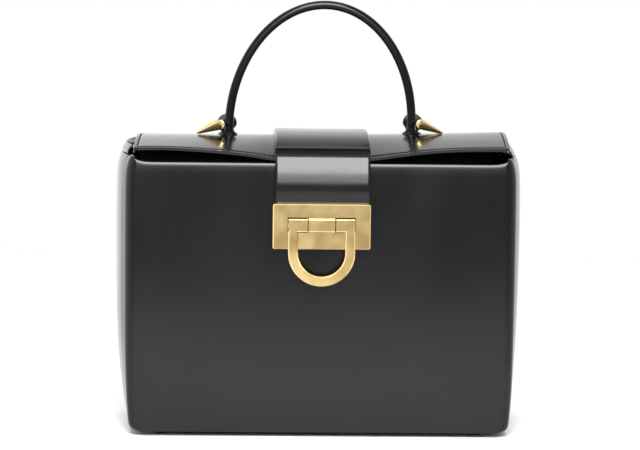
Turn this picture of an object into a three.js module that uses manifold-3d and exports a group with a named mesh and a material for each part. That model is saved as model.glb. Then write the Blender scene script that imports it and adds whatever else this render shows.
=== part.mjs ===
// A small structured leather box bag with a sagging lid, a closing strap with a pull ring, and a rolled handle.
// Millimetres, +Z up. The front faces -Y, X runs to the right seen from the front, and the feet stand on z = 0.
import * as THREE from 'three';
import Module from 'manifold-3d';

const wasm = await Module();
wasm.setup();

// Clearance between neighbouring pieces
const GAP = 0.3;

// Body: a front and a back wall that wrap the vertical corners, bellied side walls and a base
const BODY_DEPTH = 110;
const FRONT_WIDTH = 254.4;
const BODY_HEIGHT = 178.2;
const PANEL_WALL = 3;
const GUSSET_WALL = 2.4;
const BASE_WALL = 2.8;
const CORNER_RADIUS = 5;
const CORNER_RETURN = 12;
const CORNER_LIFT = 4.6;
const BOTTOM_RADIUS = 5.4;
const RIM_ROUND = 1.2;
const SIDE_BULGE = 8.2;
const SIDE_SHOULDER = 9.5;
const SHOULDER_HEIGHT = 23;

// Lid: one domed sheet that rolls into the back wall, with side returns that close over the side walls
const LID_WIDTH = 249.4;
const LID_WALL = 2.4;
const LID_RISE = 15.8;
const LID_END_RISE = 1.2;
const LID_CORNER_DROP = 6.3;
const LID_STRAP_DROP = 12.5;
const LID_BACK_DROP = 5;
const LID_OVERHANG = 1;
const LID_CORNER_RADIUS = 3;
const LID_BACK_RADIUS = 6;
const EAR_WALL = 2.2;
const EAR_NOTCH = 0.6;
const EAR_SETBACK = 3;
const EAR_BACK_GAP = 1;

// Closing strap
const STRAP_WIDTH = 61.4;
const STRAP_WALL = 3.2;
const STRAP_FLARE = 3.6;
const STRAP_EDGE_ROUND = 1.1;

// Clasp: a gold plate, a pull ring on a three-part hinge and a plain hidden catch
const PLATE_WIDTH = 64;
const PLATE_HEIGHT = 29.6;
const PLATE_WALL = 3;
const PLATE_BEVEL = 0.7;
const PLATE_DROP = 26;
const HINGE_DROP = 13.7;
const HINGE_STANDOFF = 1.3;
const KNUCKLE_RADIUS = 4.2;
const MIDDLE_KNUCKLE_WIDTH = 17.6;
const HINGE_WIDTH = 43.8;
const KNUCKLE_GAP = 0.4;
const PIN_RADIUS = 1.2;
const PIN_CLEARANCE = 0.3;
const RING_WIDTH = 43.8;
const RING_BAND = 6.4;
const RING_WALL = 3.2;
const RING_DROP = 39.9;
const RING_BEVEL = 0.6;
const CATCH_WIDTH = 30;
const CATCH_HEIGHT = 18;

// Handle: rolled leather, with a flared foot at each end, a loop behind it and a gold stirrup
const HANDLE_SPREAD = 124;
const HANDLE_RISE = 79.4;
const HANDLE_RADIUS = 3;
const HANDLE_SPRING = 7.4;
const HANDLE_FOOT_WIDTH = 12.4;
const HANDLE_FOOT_HEIGHT = 3.4;
const FOOT_LIP = 0.6;
const HANDLE_NECK_WIDTH = 7.3;
const LOOP_RADIUS = 6.4;
const LOOP_WALL = 3.6;
const BAR_OFFSET = 5;
const BAR_HEIGHT = 6.2;
const BAR_RADIUS = 1.5;
const BAR_CLEARANCE = 0.3;
const STIRRUP_LENGTH = 18;
const STIRRUP_SPREAD = 25;
const STIRRUP_TIP_SPREAD = 7;
const STIRRUP_WALL = 2;
const STIRRUP_EYE_RADIUS = 3;
const STIRRUP_TIP_RADIUS = 1.5;

// Feet
const FOOT_HEIGHT = 3;
const FOOT_RADIUS = 4;
const FOOT_INSET_X = 22.6;
const FOOT_INSET_Y = 14;

// How much of the side's belly and of the shoulder's tuck each height has
const BELLY_ROWS = [
  { height: 0, belly: 0.1 }, { height: 0.03, belly: 0.2 }, { height: 0.07, belly: 0.31 },
  { height: 0.14, belly: 0.52 }, { height: 0.21, belly: 0.67 }, { height: 0.28, belly: 0.79 },
  { height: 0.42, belly: 0.88 }, { height: 0.56, belly: 0.95 }, { height: 0.7, belly: 1 },
  { height: 1, belly: 0.9 },
];
const SHOULDER_ROWS = [
  { height: 0, tuck: 0 }, { height: 0.2, tuck: 0.04 }, { height: 0.4, tuck: 0.16 }, { height: 0.55, tuck: 0.31 },
  { height: 0.75, tuck: 0.55 }, { height: 0.9, tuck: 0.82 }, { height: 1, tuck: 1.15 },
];
// The strap over the lid: where along the lid, and how many wall thicknesses it stands up
const STRAP_LID_ROWS = [
  { reach: 0.97, pad: 0.5 }, { reach: 0.85, pad: 0.95 }, { reach: 0.45, pad: 1 }, { reach: 0.05, pad: 1.03 },
  { reach: -0.15, pad: 1.22 }, { reach: -0.32, pad: 1.6 }, { reach: -0.5, pad: 1.93 }, { reach: -0.64, pad: 2.18 },
  { reach: -0.76, pad: 2.25 }, { reach: -0.86, pad: 2.05 }, { reach: -0.94, pad: 1.62 }, { reach: -0.985, pad: 1.1 },
];
// The strap below the lid's edge: share of the drop to the plate, and share of the outward flare
const STRAP_FRONT_ROWS = [
  { drop: 0, flare: 0 }, { drop: 0.07, flare: 0.32 }, { drop: 0.15, flare: 0.6 }, { drop: 0.26, flare: 0.86 },
  { drop: 0.38, flare: 0.99 }, { drop: 0.52, flare: 0.98 }, { drop: 0.68, flare: 0.84 }, { drop: 0.84, flare: 0.6 },
  { drop: 1, flare: 0.42 },
];

// Places worked out from the sizes above
const DEPTH_HALF = BODY_DEPTH / 2;
const FRONT_HALF = FRONT_WIDTH / 2;
const LID_HALF = LID_WIDTH / 2;
const STRAP_HALF = STRAP_WIDTH / 2;
const BASE_Z = FOOT_HEIGHT;
const RIM_Z = BASE_Z + BODY_HEIGHT;
const CREST_Z = RIM_Z + LID_RISE;
const LID_FRONT_Y = -(DEPTH_HALF + LID_OVERHANG);
const SEAM_Y = DEPTH_HALF - CORNER_RETURN;
const STRAP_TURN_Y = LID_FRONT_Y - GAP - STRAP_WALL;
const PLATE_TOP_Z = RIM_Z - PLATE_DROP;
const PLATE_BOTTOM_Z = PLATE_TOP_Z - PLATE_HEIGHT;
const STRAP_FACE_Y = STRAP_TURN_Y - STRAP_FLARE * STRAP_FRONT_ROWS.at(-1).flare;
const PLATE_BACK_Y = STRAP_FACE_Y - GAP;
const PLATE_FRONT_Y = PLATE_BACK_Y - PLATE_WALL;
const HINGE_Y = PLATE_FRONT_Y - HINGE_STANDOFF;
const HINGE_Z = PLATE_TOP_Z - HINGE_DROP;
const RING_BACK_Y = PLATE_FRONT_Y - GAP - 0.1;
const RING_FRONT_Y = RING_BACK_Y - RING_WALL;
const HANDLE_END_X = HANDLE_SPREAD / 2;

const smooth = (t) => { const c = THREE.MathUtils.clamp(t, 0, 1); return c * c * (3 - 2 * c); };
const lerp = THREE.MathUtils.lerp;
const range = (count) => Array.from({ length: count + 1 }, (_, i) => i / count);

// Reads a value from a table at a share, on a straight line between its rows
function readTable(rows, key, at, value) {
  if (at <= rows[0][key]) return rows[0][value];
  for (let i = 1; i < rows.length; i += 1) {
    const [low, high] = [rows[i - 1], rows[i]];
    if (at <= high[key]) return lerp(low[value], high[value], (at - low[key]) / (high[key] - low[key]));
  }
  return rows.at(-1)[value];
}

// Height of the lid's upper face
function lidTop(x, y) {
  const crest = CREST_Z + LID_END_RISE * (x / LID_HALF) ** 2;
  if (y > 0) return crest - LID_BACK_DROP * (y / (DEPTH_HALF - LID_BACK_RADIUS)) ** 1.8;
  const beside = THREE.MathUtils.clamp((Math.abs(x) - STRAP_HALF) / (LID_HALF - STRAP_HALF), 0, 1);
  return crest - lerp(LID_STRAP_DROP, LID_CORNER_DROP + LID_END_RISE, beside) * (y / LID_FRONT_Y) ** 1.7;
}

// Height where the side walls and their returns end, just under the lid
const sideTop = (y) => lidTop(LID_HALF, y) - LID_WALL - GAP;
// Height of the seam between a side wall and the lid's side return above it
const NOTCH_Z = RIM_Z + CORNER_LIFT;

// The lid's roll at the back: its radius grows with the lid's slope, so that it ends upright at the back face
function backRoll(x) {
  const startY = DEPTH_HALF - LID_BACK_RADIUS;
  const start = lidTilt(x, startY);
  const radius = LID_BACK_RADIUS / (1 + Math.sin(start));
  const z = lidTop(x, startY);
  return { startY, start, radius, z, centreY: startY + radius * Math.sin(start), endZ: z - radius * Math.cos(start) };
}
function lidTilt(x, y) {
  const step = 0.5;
  const from = y < 0 ? Math.min(y + step, 0) : y;
  return y === 0 ? 0 : Math.atan((lidTop(x, from) - lidTop(x, from - step)) / step);
}

// Half the bag's width at a depth and height: the belly, less the shoulder's tuck and the rounded bottom corner
function sideX(y, z) {
  const across = 1 - (y / DEPTH_HALF) ** 2;
  const top = sideTop(y);
  const belly = SIDE_BULGE * readTable(BELLY_ROWS, 'height', (z - BASE_Z) / (top - BASE_Z), 'belly') * across;
  const lift = (z - top + SHOULDER_HEIGHT) / SHOULDER_HEIGHT;
  const shoulder = SIDE_SHOULDER * readTable(SHOULDER_ROWS, 'height', lift, 'tuck') * (0.35 + 0.65 * across);
  return FRONT_HALF + belly - shoulder - bottomTuck(z);
}

// How far the bottom corner's arc pulls the side in at a height
function bottomTuck(z) {
  const below = Math.max(0, BOTTOM_RADIUS - (z - BASE_Z));
  return BOTTOM_RADIUS - Math.sqrt(BOTTOM_RADIUS ** 2 - Math.min(below, BOTTOM_RADIUS) ** 2);
}

// A closed solid between two grids of points with the same rows and columns
function closedGrid(outer, inner) {
  const rows = outer.length;
  const cols = outer[0].length;
  const points = [...outer.flat(), ...inner.flat()];
  const index = [];
  const at = (r, c) => r * cols + c;
  const under = (r, c) => rows * cols + at(r, c);
  const quad = (a, b, c, d) => index.push(a, b, c, a, c, d);
  for (let r = 0; r + 1 < rows; r += 1) {
    for (let c = 0; c + 1 < cols; c += 1) {
      quad(at(r, c), at(r, c + 1), at(r + 1, c + 1), at(r + 1, c));
      quad(under(r, c), under(r + 1, c), under(r + 1, c + 1), under(r, c + 1));
    }
    quad(at(r, 0), at(r + 1, 0), under(r + 1, 0), under(r, 0));
    quad(at(r, cols - 1), under(r, cols - 1), under(r + 1, cols - 1), at(r + 1, cols - 1));
  }
  for (let c = 0; c + 1 < cols; c += 1) {
    quad(at(0, c), under(0, c), under(0, c + 1), at(0, c + 1));
    quad(at(rows - 1, c), at(rows - 1, c + 1), under(rows - 1, c + 1), under(rows - 1, c));
  }
  return outward(geometryOf(points.flatMap((p) => p.toArray()), index));
}

function geometryOf(positions, index) {
  const geometry = new THREE.BufferGeometry();
  geometry.setAttribute('position', new THREE.Float32BufferAttribute(positions, 3));
  geometry.setIndex(index);
  return geometry;
}

// Turns the faces over where a solid's volume comes out negative
function outward(geometry) {
  const p = geometry.attributes.position;
  const index = geometry.index.array;
  const [a, b, c] = [new THREE.Vector3(), new THREE.Vector3(), new THREE.Vector3()];
  let volume = 0;
  for (let i = 0; i < index.length; i += 3) {
    a.fromBufferAttribute(p, index[i]);
    b.fromBufferAttribute(p, index[i + 1]);
    c.fromBufferAttribute(p, index[i + 2]);
    volume += a.dot(b.cross(c));
  }
  if (volume < 0) for (let i = 0; i < index.length; i += 3) [index[i], index[i + 1]] = [index[i + 1], index[i]];
  return geometry;
}

// An upright leather wall: columns run round the plan, rows run up, and the ends of the rows can be rounded
function planWall(columns, rows, wall, pointAt) {
  const outer = [];
  const inner = [];
  for (const row of rows) {
    const line = columns.map((column) => pointAt(column, row));
    outer.push([]);
    inner.push([]);
    line.forEach((point, i) => {
      const along = line[Math.min(i + 1, line.length - 1)].clone().sub(line[Math.max(i - 1, 0)]).setZ(0).normalize();
      const inwards = new THREE.Vector3(-along.y, along.x, 0);
      const centre = new THREE.Vector3(-point.x, -point.y, 0);
      if (inwards.dot(centre) < 0) inwards.negate();
      outer.at(-1).push(point.clone().addScaledVector(inwards, row.inset));
      inner.at(-1).push(point.clone().addScaledVector(inwards, wall - row.inset));
    });
  }
  return closedGrid(outer, inner);
}

// Rows of a wall from its bottom to its top, close together where an edge or a corner is round
function wallRows(steps, round) {
  const foot = [0, 0.4, 1].map((s) => ({ base: s * round, share: 0, top: 0, inset: round * (1 - Math.sqrt(1 - (1 - s) ** 2)) }));
  const corner = [0.5, 1].map((s) => ({ base: s * BOTTOM_RADIUS, share: 0, top: 0, inset: 0 }));
  const middle = steps.map((share) => ({ base: 0, share, top: 0, inset: 0 }));
  const head = [1, 0.4, 0].map((s) => ({ base: 0, share: 1, top: s * round, inset: round * (1 - Math.sqrt(1 - (1 - s) ** 2)) }));
  return [...foot, ...corner, ...middle, ...head];
}
const rowHeight = (row, low, high) => (row.share === 0 ? low + row.base : lerp(low, high, row.share) - row.top);

// Front and back walls: a flat face, two round vertical corners and a short return on each side
const panelColumns = (() => {
  const half = [
    ...range(2).map((t) => ({ part: 'side', t: 1 - t })).slice(0, -1),
    ...range(4).map((t) => ({ part: 'arc', t: 1 - t })).slice(0, -1),
    ...[1, 0.93, 0.86, 0.5].map((t) => ({ part: 'flat', t })),
  ];
  const mirror = half.slice().reverse().map((column) => ({ ...column, side: 1 }));
  return [...half.map((column) => ({ ...column, side: -1 })), { part: 'flat', t: 0, side: 1 }, ...mirror];
})();

function panelPlan(column, z) {
  if (column.part === 'flat') {
    return [column.t * (sideX(DEPTH_HALF, z) - CORNER_RADIUS), DEPTH_HALF];
  }
  if (column.part === 'arc') {
    const angle = (column.t * Math.PI) / 2;
    const y = DEPTH_HALF - CORNER_RADIUS * (1 - Math.cos(angle));
    const square = sideX(DEPTH_HALF, z) - CORNER_RADIUS * (1 - Math.sin(angle));
    return [square + sideX(y, z) - sideX(DEPTH_HALF, z), y];
  }
  const y = lerp(DEPTH_HALF - CORNER_RADIUS, SEAM_Y + GAP / 2, column.t);
  return [sideX(y, z), y];
}

function panel(facing, topAt) {
  const steps = [0.1, 0.21, 0.42, 0.7, 0.88, 0.95];
  return planWall(panelColumns, wallRows(steps, RIM_ROUND), PANEL_WALL, (column, row) => {
    const [x0, y0] = panelPlan(column, RIM_Z);
    const z = rowHeight(row, BASE_Z, topAt(x0, y0));
    const [x, y] = panelPlan(column, z);
    return new THREE.Vector3(column.side * x, facing * y, z);
  });
}

// The front rim rises a little where it turns the corner
const frontTop = (x) => RIM_Z + (CORNER_LIFT - EAR_NOTCH) * smooth((x - (FRONT_HALF - 17)) / 15);
// The back wall ends just below the lid's rolled edge
const backTop = (x) => Math.min(backRoll(Math.min(x, LID_HALF)).endZ - GAP, NOTCH_Z - EAR_NOTCH);

// Side walls, from the front wall's return to the back wall's
function gusset(side) {
  const columns = range(8).map((t) => ({ y: lerp(-1, 1, t) * (SEAM_Y - GAP / 2) }));
  const steps = [0.1, 0.21, 0.42, 0.7, 0.88, 0.95];
  return planWall(columns, wallRows(steps, GUSSET_WALL * 0.4), GUSSET_WALL, (column, row) => {
    const z = rowHeight(row, BASE_Z, NOTCH_Z - EAR_NOTCH);
    return new THREE.Vector3(side * sideX(column.y, z), column.y, z);
  });
}

// Side returns of the lid: they close the side above the side wall, tuck in under the lid and reach into its roll
function earTop(y) {
  const roll = backRoll(LID_HALF);
  if (y <= roll.centreY) return sideTop(y);
  const under = Math.sqrt(Math.max(0, (roll.radius - LID_WALL - GAP) ** 2 - (y - roll.centreY) ** 2));
  return Math.min(sideTop(y), roll.endZ + under);
}

function lidEar(side) {
  const frontY = -(SEAM_Y - EAR_SETBACK);
  const backY = DEPTH_HALF - LID_WALL - 2 * GAP - EAR_BACK_GAP;
  const columns = range(10).map((t) => ({ y: lerp(frontY, backY, t) }));
  const rows = [0, 0.3, 0.6, 0.85, 1].map((share) => ({ share, inset: 0 }));
  return planWall(columns, rows, EAR_WALL, (column, row) => {
    const z = lerp(NOTCH_Z, earTop(column.y), row.share);
    return new THREE.Vector3(side * sideX(column.y, z), column.y, z);
  });
}

// Base: a board inside the four walls
function base() {
  const low = BASE_Z;
  const high = BASE_Z + BASE_WALL;
  const reach = DEPTH_HALF - PANEL_WALL - GAP;
  const halfAt = (y) => sideX(y, low) - PANEL_WALL - GAP - 0.4;
  const ends = range(6).map((t) => lerp(-reach, reach, t));
  const level = (z) => ends.map((y) => [-1, 0, 1].map((s) => new THREE.Vector3(s * halfAt(y), y, z)));
  return closedGrid(level(high), level(low));
}

// Lid: rows from its front edge over the crest to the roll at the back
function lid() {
  const front = [1, 0.98, 0.947, 0.8, 0.62, 0.44, 0.26, 0.1].map((t) => ({ y: t * LID_FRONT_Y, roll: 0 }));
  const back = [0, 0.3, 0.65, 1].map((t) => ({ y: t * (DEPTH_HALF - LID_BACK_RADIUS), roll: 0 }));
  const roll = range(4).slice(1).map((t) => ({ y: DEPTH_HALF - LID_BACK_RADIUS, roll: t }));
  const shares = [0, 0.246, 0.45, 0.65, 0.83, 0.94, 1];
  const columns = [...shares.slice(1).reverse().map((s) => -s), ...shares];
  const outer = [];
  const inner = [];
  for (const row of [...front, ...back, ...roll]) {
    const intoCorner = Math.max(0, LID_CORNER_RADIUS - (row.y - LID_FRONT_Y));
    const half = LID_HALF - LID_CORNER_RADIUS + Math.sqrt(LID_CORNER_RADIUS ** 2 - intoCorner ** 2);
    outer.push([]);
    inner.push([]);
    for (const share of columns) {
      const x = share * half;
      const bend = backRoll(x);
      const turn = row.roll === 0 ? lidTilt(x, row.y) : lerp(bend.start, -Math.PI / 2, row.roll);
      const y = row.roll === 0 ? row.y : bend.centreY - bend.radius * Math.sin(turn);
      const z = row.roll === 0 ? lidTop(x, row.y) : bend.endZ + bend.radius * Math.cos(turn);
      outer.at(-1).push(new THREE.Vector3(x, y, z));
      inner.at(-1).push(new THREE.Vector3(x, y + Math.sin(turn) * LID_WALL, z - Math.cos(turn) * LID_WALL));
    }
  }
  return closedGrid(outer, inner);
}
// Closing strap: over the lid, round its front edge and down behind the plate, with rounded long edges
function closureStrap() {
  const overLid = STRAP_LID_ROWS.map(({ reach, pad }) => {
    const y = reach > 0 ? reach * (DEPTH_HALF - LID_BACK_RADIUS) : -reach * LID_FRONT_Y;
    const under = lidTop(0, y) + GAP;
    return { outer: [y, under + STRAP_WALL * pad], inner: [y, under] };
  });
  const turnZ = lidTop(0, LID_FRONT_Y);
  const crease = {
    outer: [LID_FRONT_Y - GAP - STRAP_WALL * 0.47, turnZ + STRAP_WALL * 0.56],
    inner: [LID_FRONT_Y - GAP, turnZ + GAP + 0.1],
  };
  const down = STRAP_FRONT_ROWS.map(({ drop, flare }) => {
    const y = STRAP_TURN_Y - STRAP_FLARE * flare;
    const z = lerp(turnZ - GAP, PLATE_TOP_Z, drop);
    return { outer: [y, z], inner: [y + STRAP_WALL, z] };
  });
  const endZ = PLATE_BOTTOM_Z + 2;
  const end = { outer: [STRAP_FACE_Y, endZ], inner: [STRAP_FACE_Y + STRAP_WALL, endZ] };
  const edge = [{ in: 0, sink: 0.38 }, { in: 0.35, sink: 0.1 }, { in: 1, sink: 0 }];
  const columns = [
    ...edge.map((e) => ({ x: -STRAP_HALF + e.in * STRAP_EDGE_ROUND, sink: e.sink })),
    { x: 0, sink: 0 },
    ...edge.slice().reverse().map((e) => ({ x: STRAP_HALF - e.in * STRAP_EDGE_ROUND, sink: e.sink })),
  ];
  const outer = [];
  const inner = [];
  for (const row of [...overLid, crease, ...down, end]) {
    const blend = (sink) => [lerp(row.outer[0], row.inner[0], sink), lerp(row.outer[1], row.inner[1], sink)];
    outer.push(columns.map(({ x, sink }) => new THREE.Vector3(x, ...blend(sink))));
    inner.push(columns.map(({ x }) => new THREE.Vector3(x, ...row.inner)));
  }
  return closedGrid(outer, inner);
}

// Joining and cutting
function toSolid(geometry) {
  const bare = geometry.index ? geometry.toNonIndexed() : geometry;
  const seen = new Map();
  const vertices = [];
  const triangles = [];
  const p = bare.attributes.position;
  for (let i = 0; i < p.count; i += 1) {
    const key = [p.getX(i), p.getY(i), p.getZ(i)].map((v) => Math.round(v * 1e4)).join(' ');
    if (!seen.has(key)) {
      seen.set(key, vertices.length / 3);
      vertices.push(p.getX(i), p.getY(i), p.getZ(i));
    }
    triangles.push(seen.get(key));
  }
  const index = [];
  for (let i = 0; i < triangles.length; i += 3) {
    const [a, b, c] = triangles.slice(i, i + 3);
    if (a !== b && b !== c && a !== c) index.push(a, b, c);
  }
  return new wasm.Manifold(new wasm.Mesh({
    numProp: 3, vertProperties: new Float32Array(vertices), triVerts: new Uint32Array(index),
  }));
}
function toGeometry(solid) {
  const mesh = solid.getMesh();
  return geometryOf(Array.from(mesh.vertProperties), Array.from(mesh.triVerts));
}
const box = (sx, sy, sz, x, y, z) => toSolid(new THREE.BoxGeometry(sx, sy, sz).translate(x, y, z));
// A cylinder along X, from its middle
const rod = (radius, length, x, y, z, segments = 24) => toSolid(
  new THREE.CylinderGeometry(radius, radius, length, segments).rotateZ(Math.PI / 2).translate(x, y, z));

// A shape drawn in X and Z, with its back at y = back and its front a wall's thickness before it
function upright(shape, wall, bevel, back, curveSegments = 4) {
  const geometry = new THREE.ExtrudeGeometry(shape, {
    depth: wall - 2 * bevel, bevelEnabled: bevel > 0, bevelThickness: bevel, bevelSize: bevel,
    bevelOffset: -bevel, bevelSegments: 1, curveSegments,
  });
  return toSolid(geometry.rotateX(Math.PI / 2).translate(0, back - bevel, 0));
}

function roundedRectangle(width, low, high, radius) {
  const half = width / 2;
  const shape = new THREE.Shape();
  shape.moveTo(-half + radius, low).lineTo(half - radius, low);
  shape.absarc(half - radius, low + radius, radius, -Math.PI / 2, 0);
  shape.absarc(half - radius, high - radius, radius, 0, Math.PI / 2);
  shape.absarc(-half + radius, high - radius, radius, Math.PI / 2, Math.PI);
  shape.absarc(-half + radius, low + radius, radius, Math.PI, 1.5 * Math.PI);
  return shape;
}

// One hinge knuckle: a barrel with a flat face towards the front
function knuckle(width, x) {
  const depth = HINGE_Y - RING_FRONT_Y;
  const keep = box(width, KNUCKLE_RADIUS + depth, 2 * KNUCKLE_RADIUS, x, HINGE_Y + (KNUCKLE_RADIUS - depth) / 2, HINGE_Z);
  return rod(KNUCKLE_RADIUS, width, x, HINGE_Y, HINGE_Z).intersect(keep);
}
const bore = () => rod(PIN_RADIUS + PIN_CLEARANCE, HINGE_WIDTH + 10, 0, HINGE_Y, HINGE_Z, 24);
const outerKnuckleWidth = (HINGE_WIDTH - MIDDLE_KNUCKLE_WIDTH) / 2 - KNUCKLE_GAP;
const outerKnuckleX = (HINGE_WIDTH - outerKnuckleWidth) / 2;

function claspPlate() {
  const face = roundedRectangle(PLATE_WIDTH, PLATE_BOTTOM_Z, PLATE_TOP_Z, 1.2);
  let plate = upright(face, PLATE_WALL, PLATE_BEVEL, PLATE_BACK_Y);
  const windowWidth = outerKnuckleWidth + 2 * KNUCKLE_GAP;
  const windowHeight = 2 * (KNUCKLE_RADIUS + KNUCKLE_GAP);
  for (const side of [-1, 1]) {
    plate = plate.subtract(box(windowWidth, 4 * PLATE_WALL, windowHeight, side * outerKnuckleX, PLATE_FRONT_Y, HINGE_Z));
  }
  const middle = knuckle(MIDDLE_KNUCKLE_WIDTH, 0);
  const behind = box(MIDDLE_KNUCKLE_WIDTH * 2, PLATE_WALL, 4 * KNUCKLE_RADIUS, 0, PLATE_BACK_Y + PLATE_WALL / 2, HINGE_Z);
  return toGeometry(plate.add(middle.subtract(behind)).subtract(bore()));
}

// Pull ring: a plain band, straight at the sides and round below, hung from the two outer knuckles
function claspRing() {
  const outer = RING_WIDTH / 2;
  const inner = outer - RING_BAND;
  const centreZ = HINGE_Z - RING_DROP + outer;
  const topZ = HINGE_Z + KNUCKLE_RADIUS * 0.4;
  const band = new THREE.Shape();
  band.moveTo(outer, topZ).lineTo(outer, centreZ).absarc(0, centreZ, outer, 0, -Math.PI, true);
  band.lineTo(-outer, topZ).lineTo(-inner, topZ).lineTo(-inner, centreZ);
  band.absarc(0, centreZ, inner, Math.PI, 2 * Math.PI, false).lineTo(inner, topZ);
  let ring = upright(band, RING_WALL, RING_BEVEL, RING_BACK_Y, 24);
  const room = rod(KNUCKLE_RADIUS - 0.4, RING_WIDTH + 2, 0, HINGE_Y, HINGE_Z);
  const above = box(RING_WIDTH + 2, 20, 20, 0, HINGE_Y, HINGE_Z + 10);
  ring = ring.subtract(room).subtract(above);
  for (const side of [-1, 1]) ring = ring.add(knuckle(outerKnuckleWidth, side * outerKnuckleX));
  return toGeometry(ring.subtract(bore()));
}

function claspPin() {
  return toGeometry(rod(PIN_RADIUS, HINGE_WIDTH - 0.6, 0, HINGE_Y, HINGE_Z, 24));
}

// Hidden catch between the front wall and the strap's end
function claspCatch() {
  const back = -DEPTH_HALF - GAP;
  const wall = back - (STRAP_FACE_Y + STRAP_WALL) - GAP;
  const face = roundedRectangle(CATCH_WIDTH, HINGE_Z - CATCH_HEIGHT / 2, HINGE_Z + CATCH_HEIGHT / 2, 2);
  return toGeometry(upright(face, wall, 0, back));
}

// Handle: down at both ends to the lid, up in one smooth arch
const handleFootZ = lidTop(HANDLE_END_X, 0) + GAP;
const handleSpringZ = handleFootZ + HANDLE_SPRING;

class HandleCurve extends THREE.Curve {
  getPoint(t, target = new THREE.Vector3()) {
    const leg = 0.04;
    if (t < leg || t > 1 - leg) {
      const up = Math.min(t, 1 - t) / leg;
      return target.set(t < 0.5 ? -HANDLE_END_X : HANDLE_END_X, 0, lerp(handleFootZ + 1, handleSpringZ, up));
    }
    const angle = ((t - leg) / (1 - 2 * leg)) * Math.PI;
    return target.set(-HANDLE_END_X * Math.cos(angle), 0, handleSpringZ + HANDLE_RISE * Math.sin(angle) ** (2 / 1.8));
  }
}

function circle(radius, segments) {
  return new THREE.Shape(range(segments).slice(1).map((t) => new THREE.Vector2(
    radius * Math.cos(2 * Math.PI * t), radius * Math.sin(2 * Math.PI * t))));
}

// The flared foot that a handle end or a loop stands on, up to a neck of even width
function footShape(x, low, high, footHalf, neckHalf) {
  const shape = new THREE.Shape();
  const lip = low + FOOT_LIP;
  shape.moveTo(x - footHalf, low).lineTo(x + footHalf, low).lineTo(x + footHalf, lip);
  shape.quadraticCurveTo(x + neckHalf, lip, x + neckHalf, low + HANDLE_FOOT_HEIGHT);
  shape.lineTo(x + neckHalf, high).lineTo(x - neckHalf, high).lineTo(x - neckHalf, low + HANDLE_FOOT_HEIGHT);
  shape.quadraticCurveTo(x - neckHalf, lip, x - footHalf, lip);
  return shape;
}

function handle() {
  const tube = new THREE.ExtrudeGeometry(circle(HANDLE_RADIUS, 12), {
    steps: 48, bevelEnabled: false, extrudePath: new HandleCurve(),
  });
  let solid = toSolid(tube);
  for (const side of [-1, 1]) {
    const foot = footShape(side * HANDLE_END_X, handleFootZ, handleSpringZ - 1, HANDLE_FOOT_WIDTH / 2, HANDLE_RADIUS * 0.96);
    solid = solid.add(upright(foot, 2 * HANDLE_RADIUS, 0, HANDLE_RADIUS));
  }
  return toGeometry(solid);
}

// Leather loop behind a handle end: it stands on the lid and holds the stirrup's bar
const barX = HANDLE_END_X + BAR_OFFSET;
const barZ = handleFootZ + BAR_HEIGHT;
const loopBackY = HANDLE_RADIUS + GAP + LOOP_WALL;

function handleLoop(side) {
  const low = lidTop(HANDLE_END_X, 0) + GAP;
  const foot = footShape(side * HANDLE_END_X, low, handleSpringZ, HANDLE_FOOT_WIDTH / 2, HANDLE_NECK_WIDTH / 2);
  const round = circle(LOOP_RADIUS, 24);
  const place = (x, z) => (solid) => solid.translate([x, 0, z]);
  let loop = upright(foot, LOOP_WALL, 0, loopBackY);
  loop = loop.add(place(side * (HANDLE_END_X + 0.4), handleSpringZ)(upright(round, LOOP_WALL, 0.5, loopBackY)));
  loop = loop.add(place(side * barX, barZ)(upright(circle(BAR_RADIUS + BAR_CLEARANCE + 1.6, 24), LOOP_WALL, 0.5, loopBackY)));
  const hole = place(side * barX, barZ)(upright(circle(BAR_RADIUS + BAR_CLEARANCE, 20), 4 * LOOP_WALL, 0, loopBackY + LOOP_WALL));
  return toGeometry(loop.subtract(hole));
}

// Gold stirrup: a bar through the loop, two side arms that slope outwards and close at a narrow tip on the lid
function stirrup(side) {
  const tipX = barX + STIRRUP_LENGTH;
  const tipZ = lidTop(tipX, STIRRUP_TIP_SPREAD / 2) + GAP + 0.2 + STIRRUP_TIP_RADIUS;
  const ball = (radius, x, y, z) => toSolid(new THREE.CylinderGeometry(radius, radius, STIRRUP_WALL, 20).translate(x, y, z));
  const armY = STIRRUP_SPREAD / 2 - STIRRUP_WALL / 2;
  const endY = STIRRUP_TIP_SPREAD / 2 - STIRRUP_WALL / 2;
  let solid = toSolid(new THREE.CylinderGeometry(BAR_RADIUS, BAR_RADIUS, 2 * armY, 24).translate(side * barX, 0, barZ));
  for (const way of [-1, 1]) {
    const eye = ball(STIRRUP_EYE_RADIUS, side * barX, way * armY, barZ);
    const end = ball(STIRRUP_TIP_RADIUS, side * tipX, way * endY, tipZ);
    solid = solid.add(wasm.Manifold.hull([eye, end]));
  }
  const tip = [-1, 1].map((way) => ball(STIRRUP_TIP_RADIUS, side * tipX, way * endY, tipZ));
  return toGeometry(solid.add(wasm.Manifold.hull(tip)));
}

// A low domed foot with a flat face on the floor
function foot(sideX_, sideY_) {
  const top = FOOT_HEIGHT - GAP;
  const profile = [[0, 0], [FOOT_RADIUS * 0.72, 0], [FOOT_RADIUS * 0.9, top * 0.22], [FOOT_RADIUS, top * 0.6],
    [FOOT_RADIUS, top], [0, top]];
  const lathe = new THREE.LatheGeometry(profile.map(([r, z]) => new THREE.Vector2(r, z)), 16).rotateX(Math.PI / 2);
  const geometry = toGeometry(toSolid(lathe));
  return geometry.translate(sideX_ * (FRONT_HALF - FOOT_INSET_X), sideY_ * (DEPTH_HALF - FOOT_INSET_Y), 0);
}

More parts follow.
